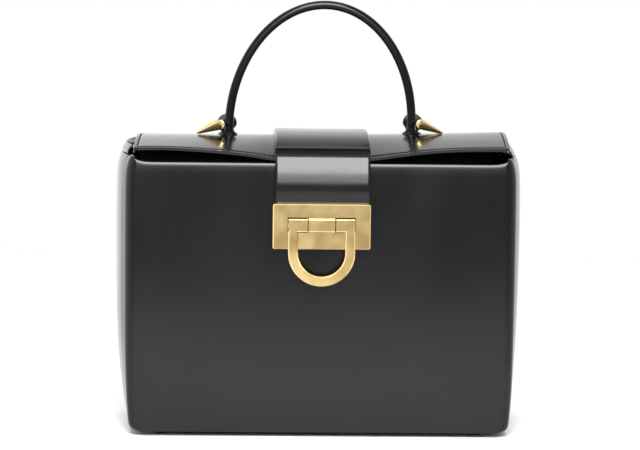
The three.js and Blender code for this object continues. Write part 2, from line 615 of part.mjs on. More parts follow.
// Finishes
const leather = new THREE.MeshStandardMaterial({ color: 0x1b1b1d, roughness: 0.32, metalness: 0 });
const leatherEdge = new THREE.MeshStandardMaterial({ color: 0x141415, roughness: 0.45, metalness: 0 });
const gold = new THREE.MeshStandardMaterial({ color: 0xdcb56e, roughness: 0.22, metalness: 1 });
const rubber = new THREE.MeshStandardMaterial({ color: 0x111111, roughness: 0.6, metalness: 0 });

function piece(name, geometry, material) {
  geometry.computeVertexNormals();
  const mesh = new THREE.Mesh(geometry, material);
  mesh.name = name;
  return mesh;
}

const body = new THREE.Group();
body.add(piece('front_panel', panel(-1, frontTop), leather));
body.add(piece('back_panel', panel(1, backTop), leather));
body.add(piece('base_panel', base(), leather));
body.add(piece('gusset_left', gusset(-1), leather));
body.add(piece('gusset_right', gusset(1), leather));
body.add(piece('lid', lid(), leather));
body.add(piece('lid_ear_left', lidEar(-1), leather));
body.add(piece('lid_ear_right', lidEar(1), leather));
body.add(piece('closure_strap', closureStrap(), leather));

const clasp = new THREE.Group();
clasp.add(piece('clasp_plate', claspPlate(), gold));
clasp.add(piece('clasp_pin', claspPin(), gold));
clasp.add(piece('clasp_ring', claspRing(), gold));
clasp.add(piece('clasp_catch', claspCatch(), gold));

const carrying = new THREE.Group();
carrying.add(piece('handle', handle(), leatherEdge));
for (const [name, side] of [['left', -1], ['right', 1]]) {
  carrying.add(piece(`handle_loop_${name}`, handleLoop(side), leatherEdge));
  carrying.add(piece(`stirrup_${name}`, stirrup(side), gold));
}

const feet = new THREE.Group();
for (const [depth, sideY] of [['front', -1], ['back', 1]]) {
  for (const [width, sideX_] of [['left', -1], ['right', 1]]) {
    feet.add(piece(`foot_${depth}_${width}`, foot(sideX_, sideY), rubber));
  }
}

// The origin is on the floor, midway between the back wall and the front of the clasp
const group = new THREE.Group();
group.add(body, clasp, carrying, feet);
group.position.y = -(RING_FRONT_Y + DEPTH_HALF) / 2;

export default group;
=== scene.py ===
"""A small structured box bag in black calf leather, dressed for the shared frame.

The lid sags between its corners, a wide strap closes it with a gold plate and pull ring, and one rolled
handle stands on it. Sizes are in metres, and tables named rows, lift, drops, steps, section or outline are in
millimetres or shares. Pieces are modelled about the middle of the bag's depth and moved into the frame when
they are finished.
"""
from __future__ import annotations

import logging
import math
from contextlib import contextmanager
from dataclasses import dataclass
from enum import Enum
from typing import Callable, Iterator, Sequence

import bmesh
import bpy
from mathutils import Matrix, Vector


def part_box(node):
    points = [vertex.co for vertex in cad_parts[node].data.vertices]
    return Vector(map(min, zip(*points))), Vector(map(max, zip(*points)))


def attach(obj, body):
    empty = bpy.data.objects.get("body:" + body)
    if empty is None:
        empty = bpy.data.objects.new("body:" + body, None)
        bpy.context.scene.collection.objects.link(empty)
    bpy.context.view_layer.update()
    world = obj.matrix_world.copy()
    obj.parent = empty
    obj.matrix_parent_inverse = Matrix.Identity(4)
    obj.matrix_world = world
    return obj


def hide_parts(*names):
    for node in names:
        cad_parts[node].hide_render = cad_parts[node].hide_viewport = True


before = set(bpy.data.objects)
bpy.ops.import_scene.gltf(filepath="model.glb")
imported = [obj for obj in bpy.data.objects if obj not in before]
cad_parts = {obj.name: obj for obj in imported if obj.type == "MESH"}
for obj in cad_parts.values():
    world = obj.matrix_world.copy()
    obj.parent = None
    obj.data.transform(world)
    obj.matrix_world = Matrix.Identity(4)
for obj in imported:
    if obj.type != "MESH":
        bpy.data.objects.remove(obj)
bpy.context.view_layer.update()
LOG = logging.getLogger("box_bag")
MM = 0.001

Point = tuple[float, float]
Rows = Sequence[Sequence[Vector]]
Table = Sequence[tuple[float, float]]
Triple = tuple[float, float, float]
Piece = bpy.types.Object
Material = bpy.types.Material
Socket = bpy.types.NodeSocket


def blend(low: float, high: float, share: float) -> float:
    """Returns the value that lies that share of the way from low to high."""
    return low + (high - low) * share


def clamp(value: float) -> float:
    """Returns the value, held between 0 and 1."""
    return min(1.0, max(0.0, value))


def ease(share: float) -> float:
    """Returns a share that starts and ends gently."""
    share = clamp(share)
    return share * share * (3 - 2 * share)


def read(table: Table, at: float) -> float:
    """Reads a table of (place, value) pairs on straight lines between its rows.

    Args:
        table: pairs in rising order of place.
        at: the place to read at.

    Returns:
        The value there, or the nearest end's.
    """
    if at <= table[0][0]:
        return table[0][1]
    for (low, low_value), (high, high_value) in zip(table, table[1:]):
        if at <= high:
            return blend(low_value, high_value, (at - low) / (high - low))
    return table[-1][1]


def spread(low: float, high: float, count: int) -> list[float]:
    """Returns count places, evenly spread from low to high."""
    return [blend(low, high, i / (count - 1)) for i in range(count)]


def both_ways(half: Sequence[float]) -> list[float]:
    """Returns places from the middle outwards to both sides, in rising order; half starts at 0."""
    return [-place for place in reversed(half[1:])] + list(half)


def smooth_loop(corners: Sequence[Point], steps: int) -> list[Point]:
    """Draws a smooth closed outline through its corners.

    Args:
        corners: the points it passes through, in order.
        steps: points drawn from one corner to the next.

    Returns:
        The points of the outline.
    """
    points: list[Point] = []
    count = len(corners)
    for i in range(count):
        before, start, end, after = (Vector(corners[(i + k) % count]) for k in (-1, 0, 1, 2))
        for step in range(steps):
            t = step / steps
            point = 0.5 * ((2 * start) + (end - before) * t + (2 * before - 5 * start + 4 * end - after) * t * t
                           + (3 * start - before - 3 * end + after) * t ** 3)
            points.append((point.x, point.y))
    return points


class Facing(Enum):
    """Which long wall of the bag: the front looks along -Y."""

    FRONT = -1
    BACK = 1


class Side(Enum):
    """Which end of the bag, seen from the front."""

    LEFT = -1
    RIGHT = 1

    @property
    def label(self) -> str:
        """The side's name in a piece's name."""
        return self.name.lower()


class Body(Enum):
    """What a piece rides on."""

    BAG = "bag"
    RING = "pull_ring"


class Look(Enum):
    """What a piece is made of: one of the finishes, and a record's finish name that nothing reads."""

    CALF = ("calf", "leather")
    ROLLED = ("handle_calf", "handle_leather")
    GOLD = ("gold", "gold")
    RUBBER = ("rubber", "foot")
    THREAD = ("thread", "leather")
    HANDLE_THREAD = ("thread", "handle_leather")


def clear() -> None:
    """Leaves nothing selected, in object mode."""
    if bpy.context.object is not None and bpy.context.object.mode != "OBJECT":
        bpy.ops.object.mode_set(mode="OBJECT")
    bpy.ops.object.select_all(action="DESELECT")


def take(piece: Piece) -> None:
    """Makes a piece the only one selected, and the active one."""
    clear()
    piece.select_set(True)
    bpy.context.view_layer.objects.active = piece


def named(name: str) -> Piece:
    """Names the primitive that was just added, and its mesh."""
    piece = bpy.context.object
    piece.name = name
    piece.data.name = name
    return piece


@contextmanager
def editing(piece: Piece, kind: str = "VERT") -> Iterator[None]:
    """Edits a piece's mesh, with nothing selected at first.

    Args:
        piece: the piece to edit.
        kind: VERT, EDGE or FACE.
    """
    take(piece)
    bpy.ops.object.mode_set(mode="EDIT")
    bpy.ops.mesh.select_mode(type=kind)
    bpy.ops.mesh.select_all(action="DESELECT")
    yield
    bpy.ops.object.mode_set(mode="OBJECT")


def select_all() -> None:
    """Selects the whole of the edited mesh."""
    bpy.ops.mesh.select_all(action="SELECT")


def pick(piece: Piece, test: Callable[..., bool], kind: str = "verts") -> None:
    """Selects the parts of the edited piece that pass a test.

    Args:
        piece: the edited piece.
        test: takes a vertex's place, an edge's two ends, or a face's middle and normal.
        kind: verts, edges or faces.
    """
    facts = {"verts": lambda part: (part.co,), "edges": lambda part: [vertex.co for vertex in part.verts],
             "faces": lambda part: (part.calc_center_median(), part.normal)}[kind]
    mesh = bmesh.from_edit_mesh(piece.data)
    for part in getattr(mesh, kind):
        part.select_set(test(*facts(part)))
    if kind == "verts":
        mesh.select_flush(True)
    bmesh.update_edit_mesh(piece.data)


def move(piece: Piece, by: Vector) -> None:
    """Moves the whole of a piece's mesh."""
    with editing(piece):
        select_all()
        bpy.ops.transform.translate(value=by)


def fit(piece: Piece, points: Sequence[Vector]) -> None:
    """Moves each vertex of the edited piece to its own point, in the order of the vertices."""
    vertices = list(bmesh.from_edit_mesh(piece.data).verts)
    for vertex, point in zip(vertices, points):
        vertex.select = True
        bpy.ops.transform.translate(value=point - vertex.co)
        vertex.select = False


def tidy(piece: Piece, fill: bool = False) -> None:
    """Closes the edited piece's seams, and if asked fills its open ends and turns its faces outwards."""
    select_all()
    bpy.ops.mesh.remove_doubles(threshold=0.002 * MM)
    if fill:
        bpy.ops.mesh.fill_holes(sides=0)
        select_all()
        bpy.ops.mesh.normals_make_consistent(inside=False)


def sheet(name: str, rows: Rows, outward: Vector | None = None) -> Piece:
    """Shapes a grid so that it passes through rows of points.

    Args:
        name: the piece's name.
        rows: rows of points, as many in each.
        outward: a direction that the faces' normals point along on the whole, for an open sheet.

    Returns:
        The new piece.
    """
    clear()
    bpy.ops.mesh.primitive_grid_add(x_subdivisions=len(rows[0]) - 1, y_subdivisions=len(rows) - 1, size=0.2)
    piece = named(name)
    with editing(piece):
        fit(piece, [point for row in rows for point in row])
        tidy(piece)
        if outward is not None:
            mesh = bmesh.from_edit_mesh(piece.data)
            if sum((face.normal * face.calc_area() for face in mesh.faces), Vector()).dot(outward) < 0:
                bpy.ops.mesh.flip_normals()
    return piece


def sleeve(name: str, rings: Rows) -> Piece:
    """Shapes a closed body through rings of points, with both ends filled."""
    piece = sheet(name, [[*ring, ring[0]] for ring in rings])
    with editing(piece):
        tidy(piece, fill=True)
    return piece


def disc(name: str, outline: Sequence[Vector], push: Vector) -> Piece:
    """Shapes a filled circle into an outline and extrudes it into a solid.

    Args:
        name: the piece's name.
        outline: the points of the outline.
        push: how far and which way it is extruded.

    Returns:
        The new piece.
    """
    clear()
    bpy.ops.mesh.primitive_circle_add(vertices=len(outline), radius=0.05, fill_type="NGON")
    piece = named(name)
    with editing(piece):
        fit(piece, outline)
        select_all()
        bpy.ops.mesh.extrude_region_move(TRANSFORM_OT_translate={"value": push})
        tidy(piece)
        bpy.ops.mesh.normals_make_consistent(inside=False)
    return piece


def block(name: str, low: Vector, high: Vector) -> Piece:
    """Adds a cube and stretches it in edit mode to fill a box."""
    clear()
    bpy.ops.mesh.primitive_cube_add(size=1)
    piece = named(name)
    with editing(piece):
        select_all()
        bpy.ops.transform.resize(value=high - low)
        bpy.ops.transform.translate(value=(high + low) / 2)
    return piece


def rod(name: str, radius: float, start: Vector, end: Vector, sides: int = 32) -> Piece:
    """Adds a cylinder from one point to another, to be shaped further."""
    clear()
    along = end - start
    bpy.ops.mesh.primitive_cylinder_add(
        vertices=sides, radius=radius, depth=along.length, location=(start + end) / 2,
        rotation=along.to_track_quat("Z", "Y").to_euler())
    piece = named(name)
    bpy.ops.object.transform_apply(location=True, rotation=True, scale=True)
    return piece


def modify(piece: Piece, kind: str, **settings: object) -> None:
    """Adds a modifier with its settings and applies it."""
    take(piece)
    bpy.ops.object.modifier_add(type=kind)
    modifier = piece.modifiers[-1]
    for key, value in settings.items():
        setattr(modifier, key, value)
    bpy.ops.object.modifier_apply(modifier=modifier.name)


def thicken(piece: Piece, wall: float) -> None:
    """Gives an open sheet its wall, inwards from the face that was drawn."""
    modify(piece, "SOLIDIFY", thickness=wall, offset=-1, use_even_offset=True, use_quality_normals=True)


def round_edges(piece: Piece, width: float, segments: int = 3, angle: float = 50.0) -> None:
    """Rounds the edges that turn by more than an angle, in degrees."""
    modify(piece, "BEVEL", width=width, segments=segments, limit_method="ANGLE",
                 angle_limit=math.radians(angle))


def soften(piece: Piece, levels: int = 1) -> None:
    """Smooths a cage into its surface."""
    modify(piece, "SUBSURF", levels=levels, render_levels=levels)


def upholster(piece: Piece, wall: float, edge: float) -> None:
    """Turns an open sheet into leather with a wall and round soft edges."""
    thicken(piece, wall)
    round_edges(piece, edge)
    soften(piece)


def combine(piece: Piece, other: Piece, how: str) -> None:
    """Joins another piece to this one or cuts it out, and removes the other.

    Args:
        piece: the piece that is kept.
        other: the piece that is used up.
        how: UNION or DIFFERENCE.
    """
    modify(piece, "BOOLEAN", operation=how, solver="EXACT", object=other)
    bpy.data.objects.remove(other)


def duplicate(piece: Piece, name: str) -> Piece:
    """Copies a piece, with a mesh of its own."""
    take(piece)
    bpy.ops.object.duplicate(linked=False)
    return named(name)


def mirrored(piece: Piece, name: str, flip: Triple = (-1, 1, 1)) -> Piece:
    """Copies a piece to the other side of the bag's middle, across its width or its depth."""
    other = duplicate(piece, name)
    with editing(other):
        select_all()
        bpy.ops.transform.resize(value=flip, center_override=(0, 0, 0))
        bpy.ops.mesh.flip_normals()
    return other


def lay(name: str, original: Piece, places: Sequence[Matrix]) -> Piece:
    """Lays copies of one small shape at many places and joins them into one piece.

    Args:
        name: the piece's name.
        original: the shape, which is used up.
        places: where each copy goes.

    Returns:
        The joined piece.
    """
    copies = []
    for place in places:
        copy = original.copy()
        copy.data = original.data.copy()
        copy.matrix_world = place
        bpy.context.scene.collection.objects.link(copy)
        copies.append(copy)
    bpy.data.objects.remove(original)
    bpy.context.view_layer.update()
    take(copies[0])
    for copy in copies:
        copy.select_set(True)
    bpy.ops.object.join()
    bpy.ops.object.transform_apply(location=True, rotation=True, scale=True)
    return named(name)


class Board:
    """The nodes of a material or of the world, laid out one by one."""

    def __init__(self, owner: Material | bpy.types.World, shader: str = "Principled BSDF",
                 place: str = "Object") -> None:
        """Starts with the shader that the owner comes with, and the coordinates that its patterns read."""
        owner.use_nodes = True
        self.owner = owner
        self.tree = owner.node_tree
        self.shader = self.tree.nodes[shader]
        self.place = self.add("ShaderNodeTexCoord").outputs[place]

    def add(self, kind: str, **settings: object) -> bpy.types.Node:
        """Adds a node and sets its properties."""
        node = self.tree.nodes.new(kind)
        for key, value in settings.items():
            setattr(node, key, value)
        return node

    def join(self, output: Socket, node: bpy.types.Node, name: str | int) -> None:
        """Links an output to a node's input."""
        self.tree.links.new(output, node.inputs[name])

    def spot(self, scale: Sequence[float], turn: Sequence[float] = (0, 0, 0)) -> Socket:
        """Returns the object's coordinates, stretched and turned."""
        node = self.add("ShaderNodeMapping")
        node.inputs["Scale"].default_value = scale
        node.inputs["Rotation"].default_value = turn
        self.join(self.place, node, "Vector")
        return node.outputs["Vector"]

    def noise(self, scale: float, detail: float = 2.0, at: Socket | None = None) -> Socket:
        """Adds a noise pattern.

        Args:
            scale: waves per metre.
            detail: how many finer layers it has.
            at: the coordinates it reads, or the object's own.

        Returns:
            The pattern, from 0 to 1.
        """
        node = self.add("ShaderNodeTexNoise")
        node.inputs["Scale"].default_value = scale
        node.inputs["Detail"].default_value = detail
        self.join(at or self.place, node, "Vector")
        return node.outputs["Fac"]

    def cells(self, scale: float) -> Socket:
        """Returns a pattern of small smooth pebbles, with as many per metre as the scale says."""
        node = self.add("ShaderNodeTexVoronoi", feature="SMOOTH_F1")
        node.inputs["Scale"].default_value = scale
        node.inputs["Smoothness"].default_value = 0.6
        self.join(self.place, node, "Vector")
        return node.outputs["Distance"]

    def span(self, value: Socket, low: float, high: float, start: float = 0.0,
             end: float = 1.0) -> Socket:
        """Maps a pattern from start..end to low..high, held at both ends."""
        node = self.add("ShaderNodeMapRange", interpolation_type="SMOOTHSTEP")
        for name, number in (("From Min", start), ("From Max", end), ("To Min", low), ("To Max", high)):
            node.inputs[name].default_value = number
        self.join(value, node, "Value")
        return node.outputs["Result"]

    def tint(self, value: Socket, low: Sequence[float] | Socket, high: Sequence[float]) -> Socket:
        """Returns a colour between two, as a pattern says; the first may be a pattern itself."""
        node = self.add("ShaderNodeMix", data_type="RGBA")
        first, second = (socket for socket in node.inputs if socket.type == "RGBA")
        self.join(value, node, "Factor")
        if isinstance(low, Socket):
            self.tree.links.new(low, first)
        else:
            first.default_value = (*low, 1)
        second.default_value = (*high, 1)
        return next(socket for socket in node.outputs if socket.type == "RGBA")

    def blend_values(self, kind: str, first: Socket, second: Socket | float
                     ) -> Socket:
        """Returns two patterns put together by a sum, a product or the greater one."""
        node = self.add("ShaderNodeMath", operation=kind)
        self.join(first, node, 0)
        if isinstance(second, (int, float)):
            node.inputs[1].default_value = second
        else:
            self.join(second, node, 1)
        return node.outputs["Value"]

    def bump(self, height: Socket, depth: float, strength: float = 1.0,
             over: Socket | None = None) -> Socket:
        """Adds a bump.

        Args:
            height: the pattern, from 0 to 1.
            depth: how deep it is, in metres.
            strength: how much of it shows.
            over: a bump that lies under it.

        Returns:
            The bumped normal.
        """
        node = self.add("ShaderNodeBump")
        node.inputs["Strength"].default_value = strength
        node.inputs["Distance"].default_value = depth
        self.join(height, node, "Height")
        if over is not None:
            self.join(over, node, "Normal")
        return node.outputs["Normal"]

    def edges(self, low: float = 0.53, high: float = 0.62) -> Socket:
        """Returns 1 on the piece's worn outer edges and 0 elsewhere."""
        return self.span(self.add("ShaderNodeNewGeometry").outputs["Pointiness"], 0.0, 1.0, low, high)

    def wire(self, **links: Socket) -> None:
        """Links patterns to the shader's inputs, named with underscores for spaces."""
        for name, output in links.items():
            self.join(output, self.shader, name.replace("_", " "))

    def set(self, **values: object) -> None:
        """Sets the shader's own inputs, named with underscores for spaces."""
        for name, value in values.items():
            self.shader.inputs[name.replace("_", " ")].default_value = value


@dataclass(frozen=True)
class Calf:
    """Smooth, brushed calf leather with a light wax finish."""

    name: str = "black_calf"
    dark: Triple = (0.0014, 0.0014, 0.0015)
    pale: Triple = (0.0024, 0.0024, 0.0026)
    worn: Triple = (0.014, 0.0138, 0.0135)
    roughness: tuple[float, float] = (0.15, 0.2)
    grain: float = 2600.0
    grain_depth: float = 0.006 * MM
    specular: float = 0.28

    def make(self) -> Material:
        """Builds the leather's nodes and returns the material."""
        board = Board(bpy.data.materials.new(self.name))
        clouds = board.noise(14.0, 3.0)
        streaks = board.noise(26.0, 4.0, board.spot((1.0, 1.0, 0.35)))
        colour = board.tint(board.span(clouds, 0, 1, 0.3, 0.7), self.dark, self.pale)
        edge = board.blend_values("MULTIPLY", board.edges(), board.span(board.noise(420.0, 3.0), 0.15, 0.8, 0.35, 0.7))
        board.wire(Base_Color=board.tint(edge, colour, self.worn))
        board.wire(Roughness=board.span(streaks, *self.roughness, 0.3, 0.7))
        pebbles = board.bump(board.cells(self.grain), self.grain_depth, 0.5)
        pores = board.bump(board.noise(self.grain * 1.9, 3.0), self.grain_depth * 0.6, 0.4, pebbles)
        board.wire(Normal=board.bump(board.noise(90.0, 2.0), 0.05 * MM, 0.25, pores))
        board.set(IOR=1.5, Specular_IOR_Level=self.specular)
        return board.owner


@dataclass(frozen=True)
class Gold:
    """Satin gold plating with fine hairlines and a few handling marks."""

    name: str = "satin_gold"
    deep: Triple = (0.76, 0.545, 0.23)
    light: Triple = (0.85, 0.635, 0.30)
    roughness: tuple[float, float] = (0.11, 0.17)
    hairlines: Triple = (30.0, 30.0, 2600.0)

    def make(self) -> Material:
        """Builds the plating's nodes and returns the material."""
        board = Board(bpy.data.materials.new(self.name))
        clouds = board.noise(55.0, 3.0)
        hair = board.noise(1.0, 3.0, board.spot(self.hairlines))
        marks = board.noise(1.0, 2.0, board.spot((700.0, 700.0, 60.0), (0, 0.6, 0)))
        board.wire(Base_Color=board.tint(board.span(clouds, 0, 1, 0.3, 0.7), self.deep, self.light))
        soft = board.span(clouds, *self.roughness, 0.3, 0.7)
        rubbed = board.blend_values("MULTIPLY", board.span(marks, 0, 1, 0.62, 0.75), 0.03)
        board.wire(Roughness=board.blend_values("ADD", soft, rubbed))
        board.wire(Normal=board.bump(hair, 0.004 * MM, 0.35))
        board.set(Metallic=1.0)
        return board.owner


@dataclass(frozen=True)
class Rubber:
    """Matt moulded rubber."""

    name: str = "foot_rubber"
    dark: Triple = (0.010, 0.010, 0.010)
    pale: Triple = (0.022, 0.022, 0.021)

    def make(self) -> Material:
        """Builds the rubber's nodes and returns the material."""
        board = Board(bpy.data.materials.new(self.name))
        speckle = board.noise(900.0, 3.0)
        board.wire(Base_Color=board.tint(speckle, self.dark, self.pale),
                   Roughness=board.span(board.noise(160.0), 0.5, 0.7), Normal=board.bump(speckle, 0.02 * MM, 0.5))
        return board.owner


@dataclass(frozen=True)
class Thread:
    """Waxed sewing thread, laid in two plies."""

    name: str = "waxed_thread"
    dark: Triple = (0.002, 0.002, 0.002)
    pale: Triple = (0.010, 0.010, 0.0095)

    def make(self) -> Material:
        """Builds the thread's nodes and returns the material."""
        board = Board(bpy.data.materials.new(self.name))
        plies = board.add("ShaderNodeTexWave", wave_type="BANDS", bands_direction="DIAGONAL")
        plies.inputs["Scale"].default_value = 420.0
        board.join(board.place, plies, "Vector")
        twist = plies.outputs["Fac"]
        board.wire(Base_Color=board.tint(twist, self.dark, self.pale),
                   Roughness=board.span(board.noise(1500.0), 0.5, 0.7), Normal=board.bump(twist, 0.03 * MM, 0.6))
        return board.owner


@dataclass(frozen=True)
class PaleFloor:
    """The studio's plain pale floor, which fades into the white round it."""

    name: str = "pale_floor"
    dark: Triple = (0.57, 0.57, 0.57)
    pale: Triple = (0.60, 0.60, 0.60)
    solid: float = 0.3
    end: float = 1.2

    def make(self) -> Material:
        """Builds the floor's nodes and returns the material."""
        board = Board(bpy.data.materials.new(self.name))
        far = board.add("ShaderNodeVectorMath", operation="LENGTH")
        board.join(board.place, far, 0)
        board.wire(Base_Color=board.tint(board.noise(3.0), self.dark, self.pale),
                   Roughness=board.span(board.noise(9.0), 0.7, 0.85),
                   Alpha=board.span(far.outputs["Value"], 1.0, 0.0, self.solid, self.end))
        return board.owner


@dataclass(frozen=True)
class Finishes:
    """All the materials of the bag, each made once."""

    calf: Material
    handle_calf: Material
    gold: Material
    rubber: Material
    thread: Material
    # painted shade: the dark, dull calf that darkens the lid's border groove and the strap's fold
    groove: Material
    # painted shade: the dark gold for the hinge's recesses, the pin and the catch
    gold_shade: Material

    @classmethod
    def make(cls) -> "Finishes":
        """Makes the materials and returns them."""
        rolled = Calf(name="handle_calf", dark=(0.0012, 0.0012, 0.0012), pale=(0.002, 0.002, 0.002),
                      roughness=(0.13, 0.19), grain=1900.0, grain_depth=0.010 * MM, specular=0.16)
        # The groove material is painted shade: near-black, dull calf put where shade falls in the lid's groove and over
        # the strap's fold.
        groove = Calf(name="groove_dye", dark=(0.001, 0.001, 0.001), pale=(0.002, 0.002, 0.002), roughness=(0.75, 0.9),
                      worn=(0.003, 0.003, 0.003), specular=0.12)
        # The dark gold is painted shade for the hinge's blocks and windows, the pin and the catch.
        shade = Gold(name="gold_shade", deep=(0.10, 0.062, 0.022), light=(0.15, 0.095, 0.035), roughness=(0.5, 0.6))
        return cls(Calf().make(), rolled.make(), Gold().make(), Rubber().make(), Thread().make(), groove.make(),
                   shade.make())


@dataclass(frozen=True)
class BagForm:
    """The bag's sizes and the shapes of its surfaces, about the middle of its depth.

    They are the CAD part's, with the lid's own lean, lift and tuck, and a left side that bellies out more.
    """

    gap: float = 0.3 * MM
    depth: float = 110 * MM
    width: float = 254.4 * MM
    height: float = 178.2 * MM
    base_z: float = 3 * MM
    corner_radius: float = 5 * MM
    corner_return: float = 12 * MM
    corner_lift: float = 4.6 * MM
    lift_start: float = 9.5 * MM
    lift_length: float = 8.5 * MM
    bottom_radius: float = 5.4 * MM
    left_belly: float = 1.3 * MM
    left_belly_height: float = 45 * MM
    bottom_taper: float = 1.3 * MM
    taper_height: float = 32 * MM
    bulge: float = 8.2 * MM
    shoulder: float = 9.5 * MM
    shoulder_height: float = 23 * MM
    lid_width: float = 249.4 * MM
    lid_wall: float = 2.4 * MM
    lid_rise: float = 15.8 * MM
    lid_end_rise: float = 1.2 * MM
    lid_corner_drop: float = 6.3 * MM
    lid_strap_drop: float = 12.5 * MM
    lid_back_drop: float = 5 * MM
    lid_overhang: float = 1 * MM
    lid_corner_radius: float = 3 * MM
    lid_lean: float = 1.45 * MM
    lid_settle: float = 0.25 * MM
    lid_skin: float = 1.9 * MM
    lid_shift: float = 1.25 * MM
    lid_skew: float = 0.025
    lid_tuck: float = 1.35 * MM
    lid_back_radius: float = 6 * MM
    ear_reach: float = 0.6 * MM
    ear_notch: float = 0.6 * MM
    strap_width: float = 61.4 * MM
    edge_lift: Table = ((-121, 2.0), (-104, 3.4), (-72, 3.8), (-40, 2.1), (-30, 0), (30, 0), (57, 2.1), (83, 3.0),
                        (105, 1.5), (121, 0.4))
    belly_rows: Table = ((0, 0.1), (0.03, 0.2), (0.07, 0.31), (0.14, 0.52), (0.21, 0.67), (0.28, 0.79), (0.42, 0.88),
                         (0.56, 0.95), (0.7, 1), (1, 0.9))
    shoulder_rows: Table = ((0, 0), (0.2, 0.04), (0.4, 0.16), (0.55, 0.31), (0.75, 0.55), (0.9, 0.82), (1, 1.15))

    @property
    def half_depth(self) -> float:
        """Half the body's depth."""
        return self.depth / 2

    @property
    def half_width(self) -> float:
        """Half the front's width."""
        return self.width / 2

    @property
    def half_lid(self) -> float:
        """Half the lid's width."""
        return self.lid_width / 2

    @property
    def rim_z(self) -> float:
        """Height of the front rim."""
        return self.base_z + self.height

    @property
    def notch_z(self) -> float:
        """Height of the seam between a side wall and the lid's return above it."""
        return self.rim_z + self.corner_lift

    @property
    def lid_front(self) -> float:
        """Where the lid's front edge lies."""
        return -(self.half_depth + self.lid_overhang)

    @property
    def seam(self) -> float:
        """How far from the middle the seams of the side walls lie."""
        return self.half_depth - self.corner_return

    @property
    def roll_start(self) -> float:
        """Where the lid starts to roll down at the back."""
        return self.half_depth - self.lid_back_radius

    def lid_middle(self, y: float) -> float:
        """Returns how far the lid's middle lies to one side at a depth."""
        return self.lid_shift + self.lid_skew * min(y, 0.0)

    def lid_top(self, x: float, y: float) -> float:
        """Returns the height of the lid's upper face, which leans a little and has lifted between its corners."""
        own = self.lid_lean * x / self.half_lid - self.lid_settle
        if y < 0:
            own += read(self.edge_lift, x / MM) * MM * (y / self.lid_front) ** 1.7
        return self.even_top(x, y) + own

    def even_top(self, x: float, y: float) -> float:
        """Returns the height that the lid's upper face would have if both of its ends were alike."""
        crest = self.rim_z + self.lid_rise + self.lid_end_rise * (x / self.half_lid) ** 2
        if y > 0:
            return crest - self.lid_back_drop * (y / self.roll_start) ** 1.8
        half_strap = self.strap_width / 2
        beside = clamp((abs(x) - half_strap) / (self.half_lid - half_strap))
        drop = blend(self.lid_strap_drop, self.lid_corner_drop + self.lid_end_rise, beside)
        return crest - drop * (y / self.lid_front) ** 1.7

    def lid_tilt(self, x: float, y: float) -> float:
        """Returns how far the lid's upper face leans along the depth, in radians."""
        if y == 0:
            return 0.0
        step = 0.5 * MM
        start = min(y + step, 0) if y < 0 else y
        return math.atan((self.lid_top(x, start) - self.lid_top(x, start - step)) / step)

    def back_roll(self, x: float) -> tuple[float, float, float, float]:
        """Returns the lid's roll at the back: its start tilt, radius, centre's depth and end height."""
        start = self.lid_tilt(x, self.roll_start)
        radius = self.lid_back_radius / (1 + math.sin(start))
        top = self.lid_top(x, self.roll_start)
        return start, radius, self.roll_start + radius * math.sin(start), top - radius * math.cos(start)

    def side_top(self, y: float, end: int = 0) -> float:
        """Returns the height where a side ends under the lid; end is -1 or 1, or 0 for the mean of both."""
        top = self.lid_top(end * self.half_lid, y) if end else self.even_top(self.half_lid, y)
        return top - self.lid_wall - self.gap

    def side_x(self, y: float, z: float) -> float:
        """Returns half the bag's width at a depth and height."""
        across = 1 - (y / self.half_depth) ** 2
        top = self.side_top(y)
        belly = self.bulge * read(self.belly_rows, (z - self.base_z) / (top - self.base_z)) * across
        lift = (z - top + self.shoulder_height) / self.shoulder_height
        shoulder = self.shoulder * read(self.shoulder_rows, lift) * (0.35 + 0.65 * across)
        below = min(max(0.0, self.bottom_radius - (z - self.base_z)), self.bottom_radius)
        tuck = self.bottom_radius - math.sqrt(self.bottom_radius ** 2 - below ** 2)
        taper = self.bottom_taper * ease(1 - (z - self.base_z) / self.taper_height)
        return self.half_width + belly - shoulder - tuck - taper

    def wall_x(self, side: int, y: float, z: float) -> float:
        """Returns how far one side reaches at a depth and height: the left one bellies out a little more."""
        more = self.left_belly * (1 - (y / self.half_depth) ** 2) * ease((z - self.base_z) / self.left_belly_height)
        return self.side_x(y, z) + (more if side < 0 else 0.0)

    def front_top(self, x: float) -> float:
        """Returns the height of the front rim, which rises a little at the corners."""
        into_corner = (abs(x) - self.half_width + self.lift_start) / self.lift_length
        return self.rim_z + (self.corner_lift - self.ear_notch) * ease(into_corner)

    def back_top(self, x: float) -> float:
        """Returns the height of the back wall, just below the lid's rolled edge."""
        end = self.back_roll(max(-self.half_lid, min(x, self.half_lid)))[3]
        return min(end - self.gap, self.notch_z - self.ear_notch)

    def ear_top(self, y: float, side: int) -> float:
        """Returns the height of one of the lid's side returns, which reach into its roll."""
        _, radius, centre, end = self.back_roll(side * self.half_lid)
        if side < 0:
            return min(self.lid_top(-self.half_lid, y) - self.gap, end + radius)
        if y <= centre:
            return self.side_top(y, side) + self.ear_reach
        room = max(0.0, (radius - self.lid_wall - self.gap) ** 2 - (y - centre) ** 2)
        return min(self.side_top(y, side) + self.ear_reach, end + math.sqrt(room))


